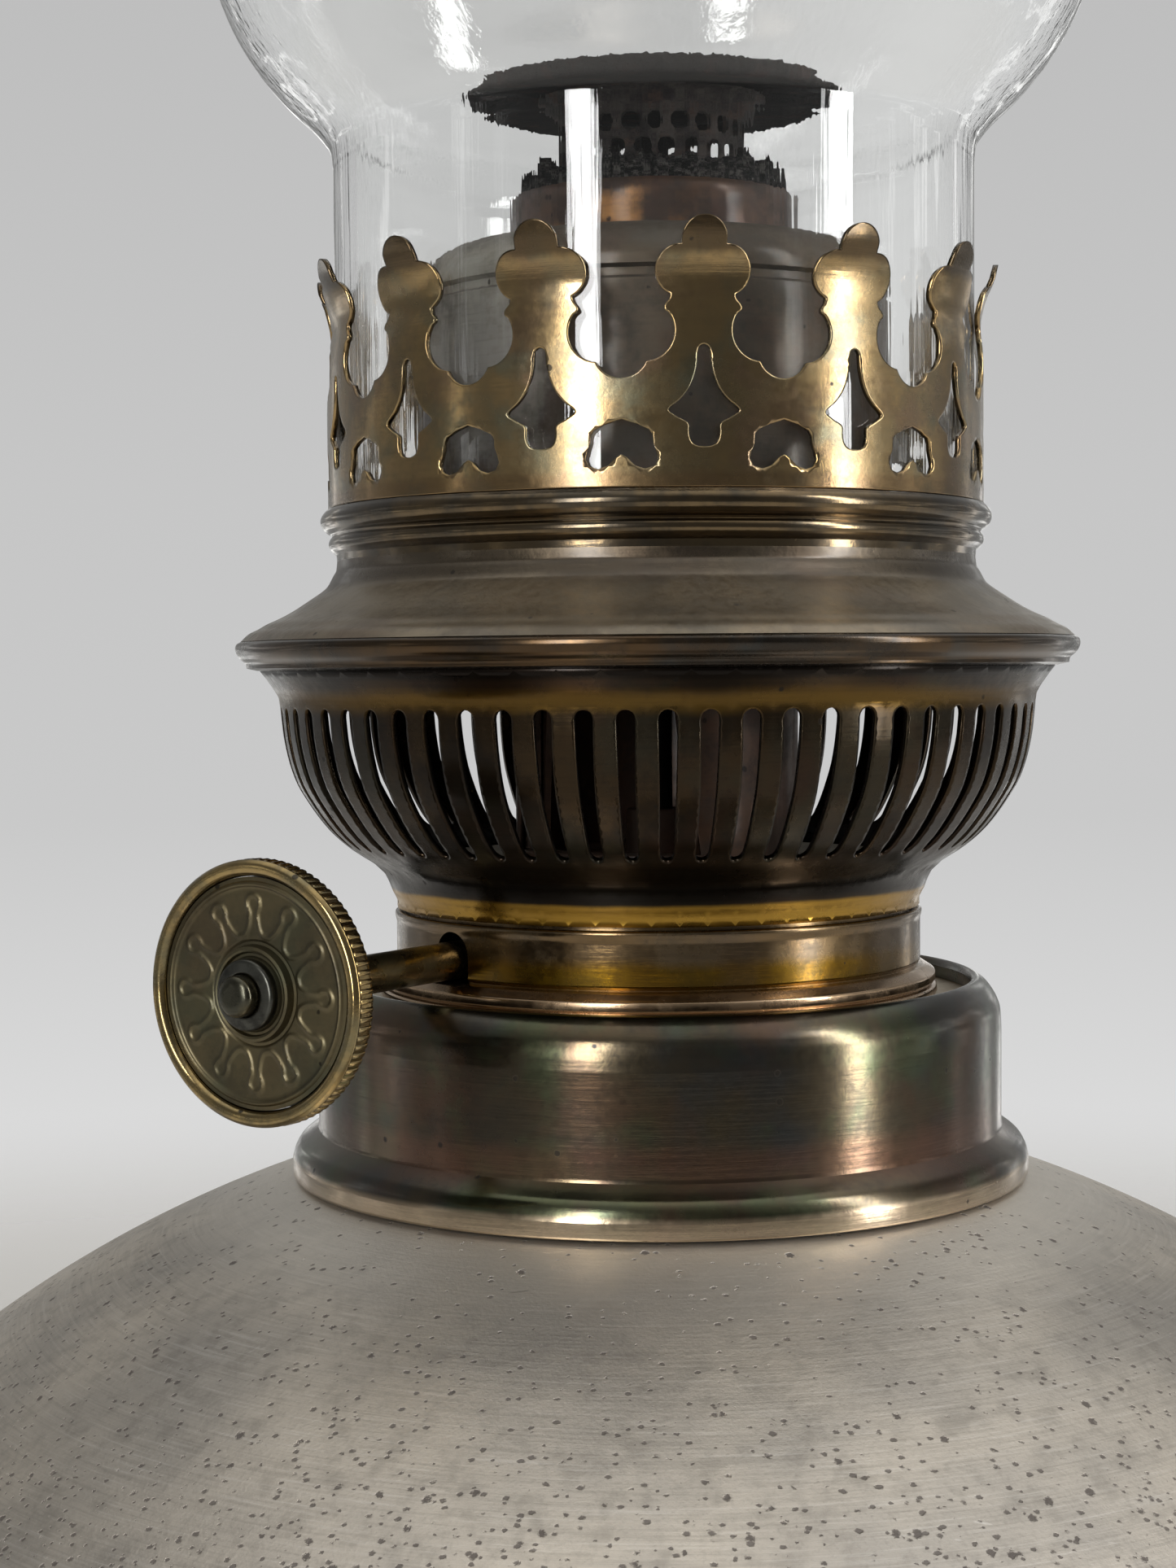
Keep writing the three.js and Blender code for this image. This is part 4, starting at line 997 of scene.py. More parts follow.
@dataclass(frozen=True)
class Cotton(Finish):
    """The wick's woven cotton, soaked and charred towards its top."""

    char_height: float = 205.5
    threads: float = 48.0
    thread_height: float = 0.42

    def lay(self, bench: Bench) -> None:
        """Lays out the cotton.

        Args:
            bench: the bench of its material.
        """
        place = bench.place()
        x, y, z = bench.parts(place)
        warp = bench.maths("SINE", bench.maths("ARCTAN2", y, x) * self.threads)
        weft = bench.maths("SINE", z / (self.thread_height * MM))
        weave = warp * weft * 0.5 + 0.5
        crumbs = bench.cloud(place, 0.55, 5.0, 0.76)
        marking = bench.cloud(bench.shifted(place, 0.3), 6.0, 3.0, 0.5)
        charred = (z / MM + (crumbs - 0.5) * 3.0).rise(self.char_height - 3.0, self.char_height)
        black = bench.blend(crumbs.rise(0.45, 0.64), shade(8, 7, 7), shade(80, 77, 74))
        colour = bench.layered(
            bench.blend(marking, shade(206, 196, 172), shade(170, 152, 118)),
            (weave * 0.35, shade(140, 126, 100)),
            (charred, black),
        )
        bench.surface(
            bench.shader(
                Base_Color=colour,
                Metallic=0.0,
                Roughness=0.85 + crumbs * 0.12,
                Specular_IOR_Level=0.2,
                Normal=bench.relief((weave, 0.12), (crumbs, 0.2)),
            )
        )


@dataclass(frozen=True)
class Glass(Finish):
    """Clear drawn glass with upright waves, and faint slanting streaks of pale diffuse film that are painted
    reflections of the lights.
    """

    painted_streak_share: float = 0.008

    def lay(self, bench: Bench) -> None:
        """Lays out the glass.

        Args:
            bench: the bench of its material.
        """
        place = bench.place()
        waves = bench.cloud(bench.stretched(place, 1.0, 1.0, 0.05), 3.0, 3.0, 0.5)
        ripples = bench.cloud(bench.shifted(bench.stretched(place, 1.0, 1.0, 0.03), 0.3), 0.7, 2.0, 0.5)
        glass = bench.shader(
            Base_Color=(0.985, 0.99, 0.985, 1.0),
            Roughness=0.0,
            IOR=1.5,
            Transmission_Weight=1.0,
            Normal=bench.relief((waves, 0.03), (ripples, 0.016)),
        )
        # Pale diffuse film laid on in slanting streaks: painted reflections of the lights on the glass.
        streak_film = bench.shader(Base_Color=(0.9, 0.9, 0.88, 1.0), Roughness=0.7, Metallic=0.0)
        cloudy = bench.cloud(bench.slanted(place, (0.5, 0.3, 0.9), (0.3, 1.0, 0.18)), 4.0, 4.0, 0.6)
        painted_streaks = cloudy.rise(0.58, 0.8) * self.painted_streak_share
        bench.surface(bench.node("ShaderNodeMixShader", values={0: painted_streaks, 1: glass, 2: streak_film}))


@dataclass(frozen=True)
class Finishes:
    """Every finish of the lamp."""

    pewter: Finish = Pewter("pewter", "pewter")
    collar: Finish = AgedMetal(
        "dark_brass", "collar_brass", shade(92, 80, 58), shade(58, 53, 44),
        tints=(shade(54, 68, 78), shade(98, 66, 46), shade(70, 92, 60)), tint_share=0.45,
        stains_and_painted_light=(
            Band(131.6, 134.4, shade(120, 82, 62), 0.4, 0.9),
            # Pale band on the flared foot: partly pale worn metal, partly a painted highlight where the flare
            # reflects the brighter front above.
            Band(127.7, 129.7, shade(205, 182, 152), 0.6, 0.25),
        ),
        patch=13.0, patina_from=0.34, patina_to=0.68, smooth=0.17, rough=0.27,
    )
    rim: Finish = AgedMetal(
        "dark_brass", "rim_brass", shade(70, 52, 28), shade(43, 35, 25),
        tints=(shade(50, 58, 60), shade(80, 56, 24)), lined=0.2, patch=10.0, smooth=0.18, rough=0.28,
    )
    bead: Finish = AgedMetal(
        "dark_brass", "bead_brass", shade(108, 90, 62), shade(68, 60, 47), smooth=0.12, rough=0.2, lined=0.2,
    )
    shaft: Finish = AgedMetal(
        "dark_brass", "shaft_brass", shade(142, 126, 88), shade(100, 90, 64),
        stains_and_painted_light=(Blot((-31.1, -36.43, 147.03), 3.4, shade(58, 60, 54), 0.9),), patch=3.0, coat=0.2,
    )
    base: Finish = AgedMetal(
        "base_brass", "base_brass", shade(124, 90, 6), shade(90, 68, 10),
        tints=(shade(96, 74, 44), shade(138, 102, 10)), coat=0.35,
        stains_and_painted_light=(
            Band(147.4, 150.4, shade(98, 88, 78), 0.6, 0.6),
            Band(142.0, 145.3, shade(196, 168, 138), 0.75, 0.25),
        ),
        smooth=0.18, rough=0.3,
    )
    cone: Finish = AgedMetal(
        "cone_brass", "cone_brass", shade(134, 120, 98), shade(98, 87, 70),
        tints=(shade(114, 92, 74), shade(94, 92, 86)), tint_share=0.4,
        # Darker band at the top of the cone: painted shade, the dark reflection of the room in front on its
        # concave upper part.
        stains_and_painted_light=(Band(176.6, 179.2, shade(60, 51, 42), 0.65, 0.6),),
        dust=(0.2, 0.18, 0.15, 1.0), dust_share=0.2, patch=12.0, smooth=0.26, rough=0.38, brushed=0.025,
    )
    basket: Finish = AgedMetal(
        "basket_brass", "basket_brass", shade(50, 38, 22), shade(31, 24, 16),
        tints=(shade(42, 41, 32), shade(48, 31, 20)), coat=0.2,
        stains_and_painted_light=(
            # Near-black band over the basket's lower belly: painted shade on the underside of the belly.
            Band(152.1, 155.2, shade(16, 12, 8), 0.9, 0.4),
            # Gold band at the basket's rounded foot: painted highlight.
            Band(149.8, 151.9, shade(170, 132, 50), 0.8, 0.2),
            # Gold band above the slots: painted highlight.
            Band(166.9, 168.3, shade(104, 78, 26), 0.65, 0.6),
            # Near-black band just under the rim: painted shade of the rim's overhang.
            Band(169.2, 170.6, shade(16, 11, 7), 0.9, 0.25),
        ),
        patch=10.0, smooth=0.24, rough=0.38,
    )
    crown: Finish = AgedMetal(
        "aged_brass", "crown_brass", shade(160, 134, 90), shade(120, 104, 74),
        tints=(shade(126, 100, 80), shade(102, 110, 94)), coat=0.55, tint_share=0.5,
        stains_and_painted_light=(
            # Paler band on the finger heads: painted highlight, the bright reflection of their upright faces.
            Band(196.8, 200.1, shade(160, 134, 92), 0.35, 0.7),
            # Darker band on the finger tips: painted shade, the dark reflection that their outward flare
            # catches from below.
            Band(200.3, 204.0, shade(78, 62, 38), 0.88, 0.4),
            Band(182.6, 184.4, shade(120, 92, 60), 0.5, 0.4),
        ),
        spot_share=0.05, patch=6.0, smooth=0.17, rough=0.27, lined=0.15,
    )
    inner: Finish = AgedMetal(
        "aged_brass", "inner_brass", shade(140, 124, 90), shade(104, 92, 66), dust_share=0.7,
    )
    ledge: Finish = AgedMetal(
        "dark_brass", "ledge_brass", shade(128, 112, 84), shade(90, 80, 62), dust_share=1.0, rough=0.5,
    )
    drum: Finish = AgedMetal(
        "heat_stained_brass", "drum_brass", shade(106, 90, 70), shade(78, 68, 56),
        tints=(shade(108, 104, 96), shade(104, 72, 50)),
        stains_and_painted_light=(
            # Two pale blots on the drum's left front: painted reflection, the pale veil of the backdrop that
            # lies over this side.
            Blot((-15.0, -13.0, 194.0), 11.0, shade(226, 222, 214), 0.8),
            Blot((-14.0, -12.0, 203.0), 8.0, shade(226, 222, 208), 0.8),
        ),
        dust=(0.085, 0.068, 0.05, 1.0), dust_share=0.35, dull=0.5, patch=6.0, smooth=0.32, rough=0.46,
    )
    tube: Finish = AgedMetal(
        "copper_brown_brass", "tube_brass", shade(96, 66, 44), shade(58, 44, 35),
        tints=(shade(84, 48, 34), shade(70, 62, 54)), dust=(0.05, 0.032, 0.022, 1.0), dull=0.5,
        stains_and_painted_light=(
            Blot((-2.9, -11.5, 206.0), 2.6, shade(230, 160, 76), 0.8),
            Blot((1.5, -11.8, 204.6), 1.5, shade(170, 112, 56), 0.6),
            Blot((-7.6, -9.1, 204.4), 1.8, shade(170, 124, 70), 0.6),
            Band(209.5, 210.1, shade(190, 160, 130), 0.6, 0.1),
        ),
        patch=4.0, smooth=0.26, rough=0.42,
    )
    knob: Finish = AgedMetal(
        "knob_brass", "knob_brass", shade(164, 140, 90), shade(116, 102, 70), tints=(shade(120, 114, 86),),
        patch=4.0, smooth=0.16, rough=0.28,
    )
    knob_face: Finish = AgedMetal(
        "knob_dark_brass", "knob_face_brass", shade(98, 89, 66), shade(77, 71, 54),
        tints=(shade(72, 78, 62), shade(86, 72, 54)), coat=0.15, tint_share=0.35, patch=6.0, smooth=0.4,
        rough=0.5, lined=0.1,
    )
    pin: Finish = AgedMetal(
        "knob_dark_brass", "pin_brass", shade(78, 78, 72), shade(48, 47, 43), patch=2.0, smooth=0.3, coat=0.2,
    )
    soot: Finish = Soot("sooty_brass", "sooty_brass")
    burnt: Finish = Soot(
        "sooty_brass", "burnt_brass", shade(36, 32, 30), shade(76, 69, 65), shade(76, 54, 44), 0.3,
    )
    cotton: Finish = Cotton("wick_cotton", "wick_cotton")
    glass: Finish = Glass("clear_glass", "clear_glass")


# Sub-assemblies -------------------------------------------------------------


@dataclass(frozen=True)
class Spindle:
    """Where the winder's spindle lies, and the frame of the pieces that are spun about it."""

    turn: float = math.radians(-90 - 33.1)
    offset: float = 6.16
    height: float = 147.03

    def frame(self) -> Matrix:
        """The matrix that takes Z to the spindle's axis and Y to up, in millimetres."""
        x, y = math.cos(self.turn), math.sin(self.turn)
        made = Matrix(((-y, x, 0.0), (0.0, 0.0, 1.0), (x, y, 0.0))).transposed().to_4x4()
        made.translation = (self.offset * y, -self.offset * x, self.height)
        return made


@dataclass
class Assembly:
    """What every sub-assembly shares: its body, the finishes and the tools that its pieces are made with."""

    body: ClassVar[Body]
    finishes: Finishes
    repeat: RoundRepeat
    spindle: Spindle = Spindle()

    def seat(self, form: Form | bpy.types.Mesh, node: str, finish: Finish, *others: str) -> None:
        """Makes the piece that stands for one CAD node.

        Args:
            form: its shape.
            node: the CAD node's name. The piece is named after it.
            finish: its finish.
            others: further CAD nodes that the piece stands for as well.
        """
        name = node + "_shown"
        mesh = form.mesh(name) if isinstance(form, Form) else form
        mesh.materials.clear()
        mesh.materials.append(finish.material())
        piece = placed(name, mesh)
        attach(piece, self.body.value)
        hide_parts(node, *others)
        LOG.info("%s: %d faces", name, len(mesh.polygons))

    def dress(self, node: str, finish: Finish) -> None:
        """Gives a CAD node that stays in view its finish."""
        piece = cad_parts[node]
        piece.data.materials.clear()
        piece.data.materials.append(finish.material())
        LOG.info("%s: dressed", node)


@dataclass
class Fount(Assembly):
    """The pewter bowl on its foot, with the collar that the burner screws into."""

    body = Body.FOUNT
    wall: float = 1.8
    foot_radius: float = 60.0
    neck_radius: float = 33.0
    foot_height: float = 27.3
    seam_height: float = 77.35
    belly_radius: float = 80.0
    belly_curve: float = 40.4
    dome_curve: float = 101.0
    neck_hole: float = 24.9
    collar_foot: float = 128.09
    collar_radius: float = 28.69
    recess_floor: float = 142.59
    ring_foot: float = 124.3
    thread_bore: float = 20.7
    thread_root: float = 21.3

    def foot(self) -> Form:
        """The hollow spreading foot with its rolled edge."""
        across, up = 23.0, 15.0
        centre = (self.neck_radius + across, 22.0)
        edge = [(53.0, 0.0, 0.5), (self.foot_radius, 0.0, 3.2), (self.foot_radius, 7.0, 3.2)]
        outside = arc(centre, across, -91, -180, 28, up)
        inside = arc(centre, across + self.wall, -180, -105, 20, up + self.wall)
        neck = level([self.neck_radius, self.neck_radius - self.wall], self.foot_height)
        return spun([*soften(edge, 10), (56.6, 7.0), *outside, *neck, *inside])

    def lower_bowl(self) -> Form:
        """The lower half of the bowl."""
        centre = (self.neck_radius, self.seam_height)
        across, up = self.belly_radius - self.neck_radius, self.seam_height - self.foot_height
        outside = arc(centre, across, -90, 0, 48, up)
        inside = arc(centre, across - self.wall, 0, -90, 40, up - self.wall)
        return spun([(0.0, self.foot_height), *outside, *inside, (0.0, self.foot_height + self.wall)])

    def upper_bowl(self) -> Form:
        """The belly's curve, which runs into the wider curve of the shoulder."""
        out, reach = self.belly_radius - self.belly_curve, self.dome_curve - self.belly_curve
        belly = (out, self.seam_height)
        dome = (0.0, self.seam_height - math.sqrt(reach**2 - out**2))
        inner = self.dome_curve - self.wall
        shares = (out / reach, self.neck_hole / self.dome_curve, self.neck_hole / inner)
        join, top, inner_top = (math.degrees(math.acos(share)) for share in shares)
        return spun(
            [
                *arc(belly, self.belly_curve, 0, join, 32),
                *arc(dome, self.dome_curve, join, top, 32)[1:],
                *arc(dome, inner, inner_top, join, 24),
                *arc(belly, self.belly_curve - self.wall, join, 0, 24)[1:],
            ]
        )

    def collar(self) -> Form:
        """The sheet ring, flared at its foot and rolled in and down at its top."""
        low, radius, seat = self.collar_foot, self.collar_radius, self.recess_floor + 0.05
        foot = [(30.1, low), (30.9, low, 0.25), (30.9, low + 1.3)]
        flare = [(30.9, 1.3), (30.7, 2.0), (30.3, 2.7), (29.7, 3.2), (28.76, 3.86)]
        roll = [
            (radius, 140.1), (28.6, 141.5), (28.4, 142.2), (28.1, 142.8), (27.6, 143.5), (27.05, 144.0),
            (26.6, 144.19), (26.28, 144.05), (26.1, 143.6),
        ]
        inside = [(26.1, seat), (26.9, seat), (26.95, 143.1), (27.5, 142.3), (27.9, 141.0), (27.9, low + 4.0)]
        flared = flowing([(r, low + up) for r, up in flare])
        return spun([*soften(foot, 3)[:-1], *flared, (radius, low + 4.2), *flowing(roll), *inside])

    def thread_ring(self) -> Form:
        """The threaded ring in the neck, whose top is the dusty ledge round the burner."""
        low, root, top = self.ring_foot, self.thread_root, self.recess_floor
        shell = turned(
            (root, low), (24.6, low, 0.3), (24.6, 129.81), (27.2, 129.81, 0.3), (27.2, 130.81, 0.3),
            (23.8, 130.81, 0.4), (23.8, 141.79, 0.3), (26.4, 141.79, 0.2), (26.4, top, 0.2), (root, top),
        )
        return shell.add(threaded(self.thread_bore, root, low, top, outside=False))

    def build(self) -> None:
        """Makes the fount's pieces."""
        f = self.finishes
        self.seat(self.foot(), "foot", f.pewter)
        self.seat(self.lower_bowl(), "fount_lower_bowl", f.pewter)
        self.seat(self.upper_bowl(), "fount_upper_bowl", f.pewter)
        self.seat(self.collar(), "fount_collar", f.collar)
        self.seat(self.thread_ring(), "collar_thread_ring", f.ledge)


@dataclass
class Burner(Assembly):
    """The round-wick burner: base ring, slotted basket, rim, drum and the two wick tubes."""

    body = Body.BURNER
    notch_foot: float = 145.09
    notch_half: float = 1.9
    notch_height: float = 4.2
    skirt: tuple[float, float, float, float] = (19.0, 20.4, 131.29, 144.79)
    socket: tuple[float, float, float, float] = (1.6, 2.6, 154.19, 158.19)
    floor: float = 153.39
    slots: int = 64
    slot_low: float = 155.5
    slot_high: float = 167.0
    slot_low_half: float = 0.52
    slot_high_half: float = 0.71
    basket_sheet: float = 0.5
    drum_radius: float = 19.6
    drum_foot: float = 182.49
    drum_top: float = 204.59
    drum_sheet: float = 0.5
    tube_radius: float = 11.9
    tube_bore: float = 11.4
    tube_foot: float = 139.03
    tube_top: float = 209.79
    draft_top: float = 208.69
    draft_radius: float = 9.6
    draft_bore: float = 9.1
    draft_foot: float = 153.89
    window_low: float = 154.99
    window_high: float = 171.99
    window_low_half: float = math.radians(49)
    window_high_half: float = math.radians(37)
    shaft_hole: float = 1.8

    def base_ring(self) -> bpy.types.Mesh:
        """The stepped band under the basket, with the arched notch that the shaft passes through."""
        body = turned(
            (20.7, 142.89), (23.4, 142.89, 0.15), (23.4, 143.55, 0.2), (22.95, 143.72, 0.06),
            (23.25, 143.95, 0.1), (23.25, 144.62, 0.15), (22.3, 145.22, 0.15), (21.82, 145.36, 0.08),
            (22.0, 145.66, 0.12), (22.0, 149.1, 0.3), (22.12, 149.5, 0.2), (22.14, 149.85, 0.22),
            (21.85, 149.98, 0.1), (21.2, 149.98), (21.2, 153.09, 0.1), (20.7, 153.09, 0.1),
        )
        half, low = self.notch_half, self.notch_foot - self.spindle.height
        top = arc((0.0, low + self.notch_height - half), half, 0, 180, 20)
        arch = [(half, low), *top, (-half, low)]
        count = len(arch)
        tool = Form([(x, y, z) for z in (10.0, 26.0) for x, y in arch])
        tool.band(0, count, count)
        tool.faces += [tuple(reversed(range(count))), tuple(range(count, 2 * count))]
        return cut_out(body, tool.moved(self.spindle.frame()), "burner_base_ring")

    def basket(self) -> bpy.types.Mesh:
        """The round-bellied sheet with its ring of long slots."""
        wall = [
            (21.95, 150.25), (21.95, 150.9), (22.35, 151.6), (22.6, 152.3), (23.3, 153.5), (24.6, 154.4),
            (25.75, 155.15), (27.3, 156.5), (28.46, 157.9), (29.4, 159.3), (30.15, 160.6), (30.67, 162.0),
            (31.0, 163.3), (31.25, 164.7), (31.45, 166.7), (31.6, 167.8), (32.1, 168.6), (32.65, 169.4),
            (33.1, 169.95),
        ]
        wall = flowing(wall, 4)
        outer = along(wall)
        inside = list(zip(*beside(wall, self.basket_sheet)))

        def inner(y: float) -> Point:
            """The sheet's inner face at the height of its outer one."""
            return tuple(float(np.interp(y, [p[1] for p in wall], part)) for part in inside)

        def cap(y: float, half: float, start: float) -> list[Point]:
            """The round end of a slot, from a start angle in radians."""
            turns = np.linspace(start, start + math.pi, 9)[1:-1]
            return [(x / outer(y)[0], up) for x, up in ellipse((0.0, y), half, half, turns)]

        low, high = self.slot_low + self.slot_low_half, self.slot_high - self.slot_high_half
        right = []
        for y in np.linspace(low, high, 14):
            half = mix(self.slot_low_half, self.slot_high_half, (y - low) / (high - low))
            right.append((half / outer(float(y))[0], float(y)))
        top, foot = cap(high, self.slot_high_half, 0.0), cap(low, self.slot_low_half, math.pi)
        rows = [150.25, 150.4, 150.9, 151.6, 152.3, 153.1, 154.0, 154.8, 156.5, 158.5, 160.5]
        rows += [162.5, 164.5, 166.7, 167.8, 168.6, 169.4, 169.82, 169.95]
        half_turn = math.pi / self.slots
        side = upright(half_turn, rows)
        hole = [*right, *top, *mirrored(right), *foot]
        cell = Pierced([*side, *mirrored(side)], [hole], half_turn, outer, inner, 28.0, grid=0.55, lip=0.12)
        return self.repeat.repeated(cell.form(), "air_basket_mesh", self.slots, 0.0, self.finishes.basket)

    def rim(self) -> Form:
        """The rolled rim that overhangs the basket."""
        roll = [(34.2, 170.2), (34.3, 170.6), (34.75, 171.0), (35.0, 171.4), (35.1, 171.8), (35.0, 172.16)]
        return spun([(32.6, 170.1), (33.3, 170.0), *flowing([*roll, (34.7, 172.35)]), (32.6, 172.35)])

    def drum(self) -> Form:
        """The drum with its round shoulder, a groove under the shoulder and a dished top."""
        run, rise, radius = 4.6, 3.7, self.drum_radius
        foot = self.drum_top - rise
        groove = [(0.0, -1.25), (0.12, -1.15), (0.42, -1.0), (0.42, -0.4), (0.12, -0.22), (0.0, -0.12)]
        side = [(radius, self.drum_foot), *((radius - inset, foot + up) for inset, up in groove)]
        shoulder = arc((radius - run, foot), run, 0, 90, 18, rise)
        path = [*side, *shoulder, (12.7, self.drum_top), (12.15, self.drum_top + 0.05)]
        return spun(sheet(path, self.drum_sheet))

    def _tube(self, name: str, outer: float, bore: float, low: float, high: float) -> bpy.types.Mesh:
        """One wick tube with its openings turned to the spindle's side.

        Args:
            name: the mesh's name.
            outer: its outer radius. The outer one of the two tubes has the shaft's hole.
            bore: its inner radius.
            low: its lower end.
            high: its upper end.

        Returns:
            The tube's mesh.
        """
        side = upright(math.pi, spaced(low, high, 16))
        below, above = self.window_low_half, self.window_high_half
        window = level(spaced(-below, below, 24), self.window_low)
        window += level(spaced(above, -above, 24), self.window_high)
        holes = [window]
        if outer == self.tube_radius:
            turn = -math.asin(self.spindle.offset / outer)
            across = self.shaft_hole / (outer * math.cos(turn))
            turns = np.linspace(0, 2 * math.pi, 24, endpoint=False)
            holes.append(ellipse((turn, self.spindle.height), across, self.shaft_hole, turns))
        faces = (straight(outer), straight(bore))
        cell = Pierced([*side, *mirrored(side)], holes, math.pi, *faces, outer, grid=1.1, lip=0.15)
        return self.repeat.repeated(cell.form(), name, 1, self.spindle.turn, self.finishes.tube)

    def draft_tube(self) -> bpy.types.Mesh:
        """The inner tube with the disc that closes it under the air window."""
        low, high, radius = self.floor, self.draft_foot, self.draft_radius
        disc = turned((0.0, low), (radius, low, 0.1), (radius, high, 0.1), (0.0, high), around=96)
        tube = self._tube("draft_tube", radius, self.draft_bore, high, self.draft_top)
        return joined_mesh(tube, disc, "draft_tube_mesh")

    def build(self) -> None:
        """Makes the burner's pieces."""
        f, low, high = self.finishes, self.floor, self.floor + 0.7
        plate = turned((12.2, low, 0.1), (21.2, low, 0.2), (21.2, high, 0.25), (12.2, high, 0.1))
        outer = self._tube("outer_tube_mesh", self.tube_radius, self.tube_bore, self.tube_foot, self.tube_top)
        bore, radius, low, high = self.socket
        corners = ((bore, low, 0.1), (radius, low, 0.1), (radius, high, 0.3), (bore, high, 0.2))
        self.seat(self.base_ring(), "burner_base_ring", f.base)
        self.seat(threaded(*self.skirt, outside=True), "burner_thread_skirt", f.base)
        self.seat(plate, "burner_floor_plate", f.inner)
        self.seat(self.basket(), "air_basket", f.basket)
        self.seat(self.rim(), "basket_rim", f.rim)
        self.seat(self.drum(), "air_deflector_drum", f.drum)
        self.seat(outer, "outer_wick_tube", f.tube)
        self.seat(self.draft_tube(), "inner_draft_tube", f.tube)
        self.seat(turned(*corners, around=64), "stem_socket", f.tube)
        self.dress("air_window_frame", f.tube)
        self.dress("spindle_bracket", f.inner)
        self.dress("spindle_gland", f.inner)


@dataclass
class Winder(Assembly):
    """The spindle with its wick wheels and the pressed knob."""

    body = Body.WINDER
    front: float = 45.4
    face: float = 44.9
    back: float = 43.2
    milled: int = 90

    def rosette(self) -> np.ndarray:
        """The closed line of the pressed rosette on the knob, as (x, y) points."""
        leaf = [(-15.0, 4.2), (-10.0, 4.3), (-6.0, 4.75), (-4.2, 5.3), (-3.6, 5.8), (-5.2, 6.3)]
        leaf += [(-4.6, 6.75), (-2.0, 7.0), (0.0, 7.05)]
        curve = flowing([*leaf, *mirrored(leaf[:-1])])[:-1]
        turned_leaves = [(math.radians(a + 30.0 * copy), r) for copy in range(12) for a, r in curve]
        return np.array([(r * math.cos(a), r * math.sin(a)) for a, r in turned_leaves])

    def disc(self) -> Form:
        """The pressed disc: a ring line, the rosette, a boss in front and a hub behind."""
        line = self.rosette()
        ahead = np.roll(line, -1, axis=0) - line
        around = 360
        boss = [(2.62, 0.5), (2.74, 0.24), (2.92, 0.22), (3.05, 0.46), (3.2, 0.52), (3.4, 0.46)]
        boss += [(3.54, -0.1), (3.74, -0.14), (3.94, 0.0)]
        hills = [(7.45, 0.0), (7.62, 0.05), (7.74, 0.18), (7.84, 0.22), (7.94, 0.18), (8.08, 0.04)]
        hills += [(8.35, 0.0)]
        between = (1.8, 2.68, 2.98, 3.12, 3.3, 3.47, 3.64, 3.84, 7.54, 7.68, 7.79, 7.89, 8.01, 8.2)
        profile_radii, profile_heights = zip(*boss, *hills)
        radii = sorted({*between, *profile_radii, *np.linspace(4.0, 7.36, 56)})
        turns = np.linspace(0, 2 * math.pi, around, endpoint=False)
        made = Form()
        for radius in radii:
            spots = radius * np.column_stack([np.cos(turns), np.sin(turns)])
            away = spots[:, None, :] - line[None, :, :]
            share = np.clip(np.sum(away * ahead, axis=2) / np.sum(ahead * ahead, axis=1), 0, 1)
            near = np.min(np.linalg.norm(away - share[..., None] * ahead, axis=2), axis=1)
            pressed = 0.12 * np.exp(-((near / 0.17) ** 2)) if 3.9 < radius < 7.4 else np.zeros(around)
            pressed = pressed + float(np.interp(radius, profile_radii, profile_heights))
            heights = (self.face + float(h) for h in pressed)
            made.vertices.extend((float(x), float(y), h) for (x, y), h in zip(spots, heights))
        edges = [i * around for i in range(len(radii))]
        edges += [made.ring(r, h, around) for r, h in ((8.35, 44.0), (2.7, 44.0), (2.7, 41.6), (1.8, 41.6))]
        for start, end in zip(edges, [*edges[1:], 0]):
            made.band(end, start, around)
        return made

    def rim(self) -> bpy.types.Mesh:
        """The rolled rim with its milled edge."""
        back, front = self.back, self.front
        roll = turned(
            (8.4, back), (9.35, back, 0.3), (9.52, back + 0.4, 0.2), (9.52, front - 0.6, 0.2),
            (9.62, front - 0.4, 0.15), (9.3, front, 0.4), (8.7, front - 0.05, 0.3), (8.4, front - 0.55, 0.2),
        )
        rib, count = Form(), 7
        for z, size in ((back + 0.25, 0.5), (back + 0.5, 1.0), (front - 0.8, 1.0), (front - 0.6, 0.5)):
            turns = [math.pi * (i / (count - 1) - 0.5) for i in range(count)]
            rib.vertices.extend((x, y, z) for x, y in ellipse((9.47, 0.0), 0.16 * size, 0.22, turns))
        for low in range(0, 3 * count, count):
            rib.band(low, low + count, count)
        rib.faces += [tuple(reversed(range(count))), tuple(range(3 * count, 4 * count))]
        ribs = self.repeat.repeated(rib, "knob_ribs", self.milled, 0.0, self.finishes.knob)
        return joined_mesh(ribs, roll, "knob_rim_mesh")

    def build(self) -> None:
        """Makes the winder's pieces."""
        f, place = self.finishes, self.spindle.frame()
        shaft = turned(
            (0.0, -5.3), (1.2, -5.3, 0.2), (1.2, 8.0), (1.5, 8.0, 0.1), (1.5, 47.2, 0.5), (0.9, 47.5, 0.3),
            (0.0, 47.5), around=64,
        )
        nut = turned((1.53, 45.4), (2.6, 45.4, 0.1), (2.6, 46.1, 0.3), (1.53, 46.3, 0.25), around=96)
        rim, in_metres = self.rim(), place.copy()
        in_metres.translation = place.translation * MM
        rim.transform(in_metres)
        self.seat(shaft.moved(place), "winder_spindle", f.shaft)
        self.seat(self.disc().moved(place), "knob_disc", f.knob_face)
        self.seat(rim, "knob_rim", f.knob)
        self.seat(nut.moved(place), "knob_nut", f.pin)
        self.dress("wick_wheel_inner", f.inner)
        self.dress("wick_wheel_outer", f.inner)


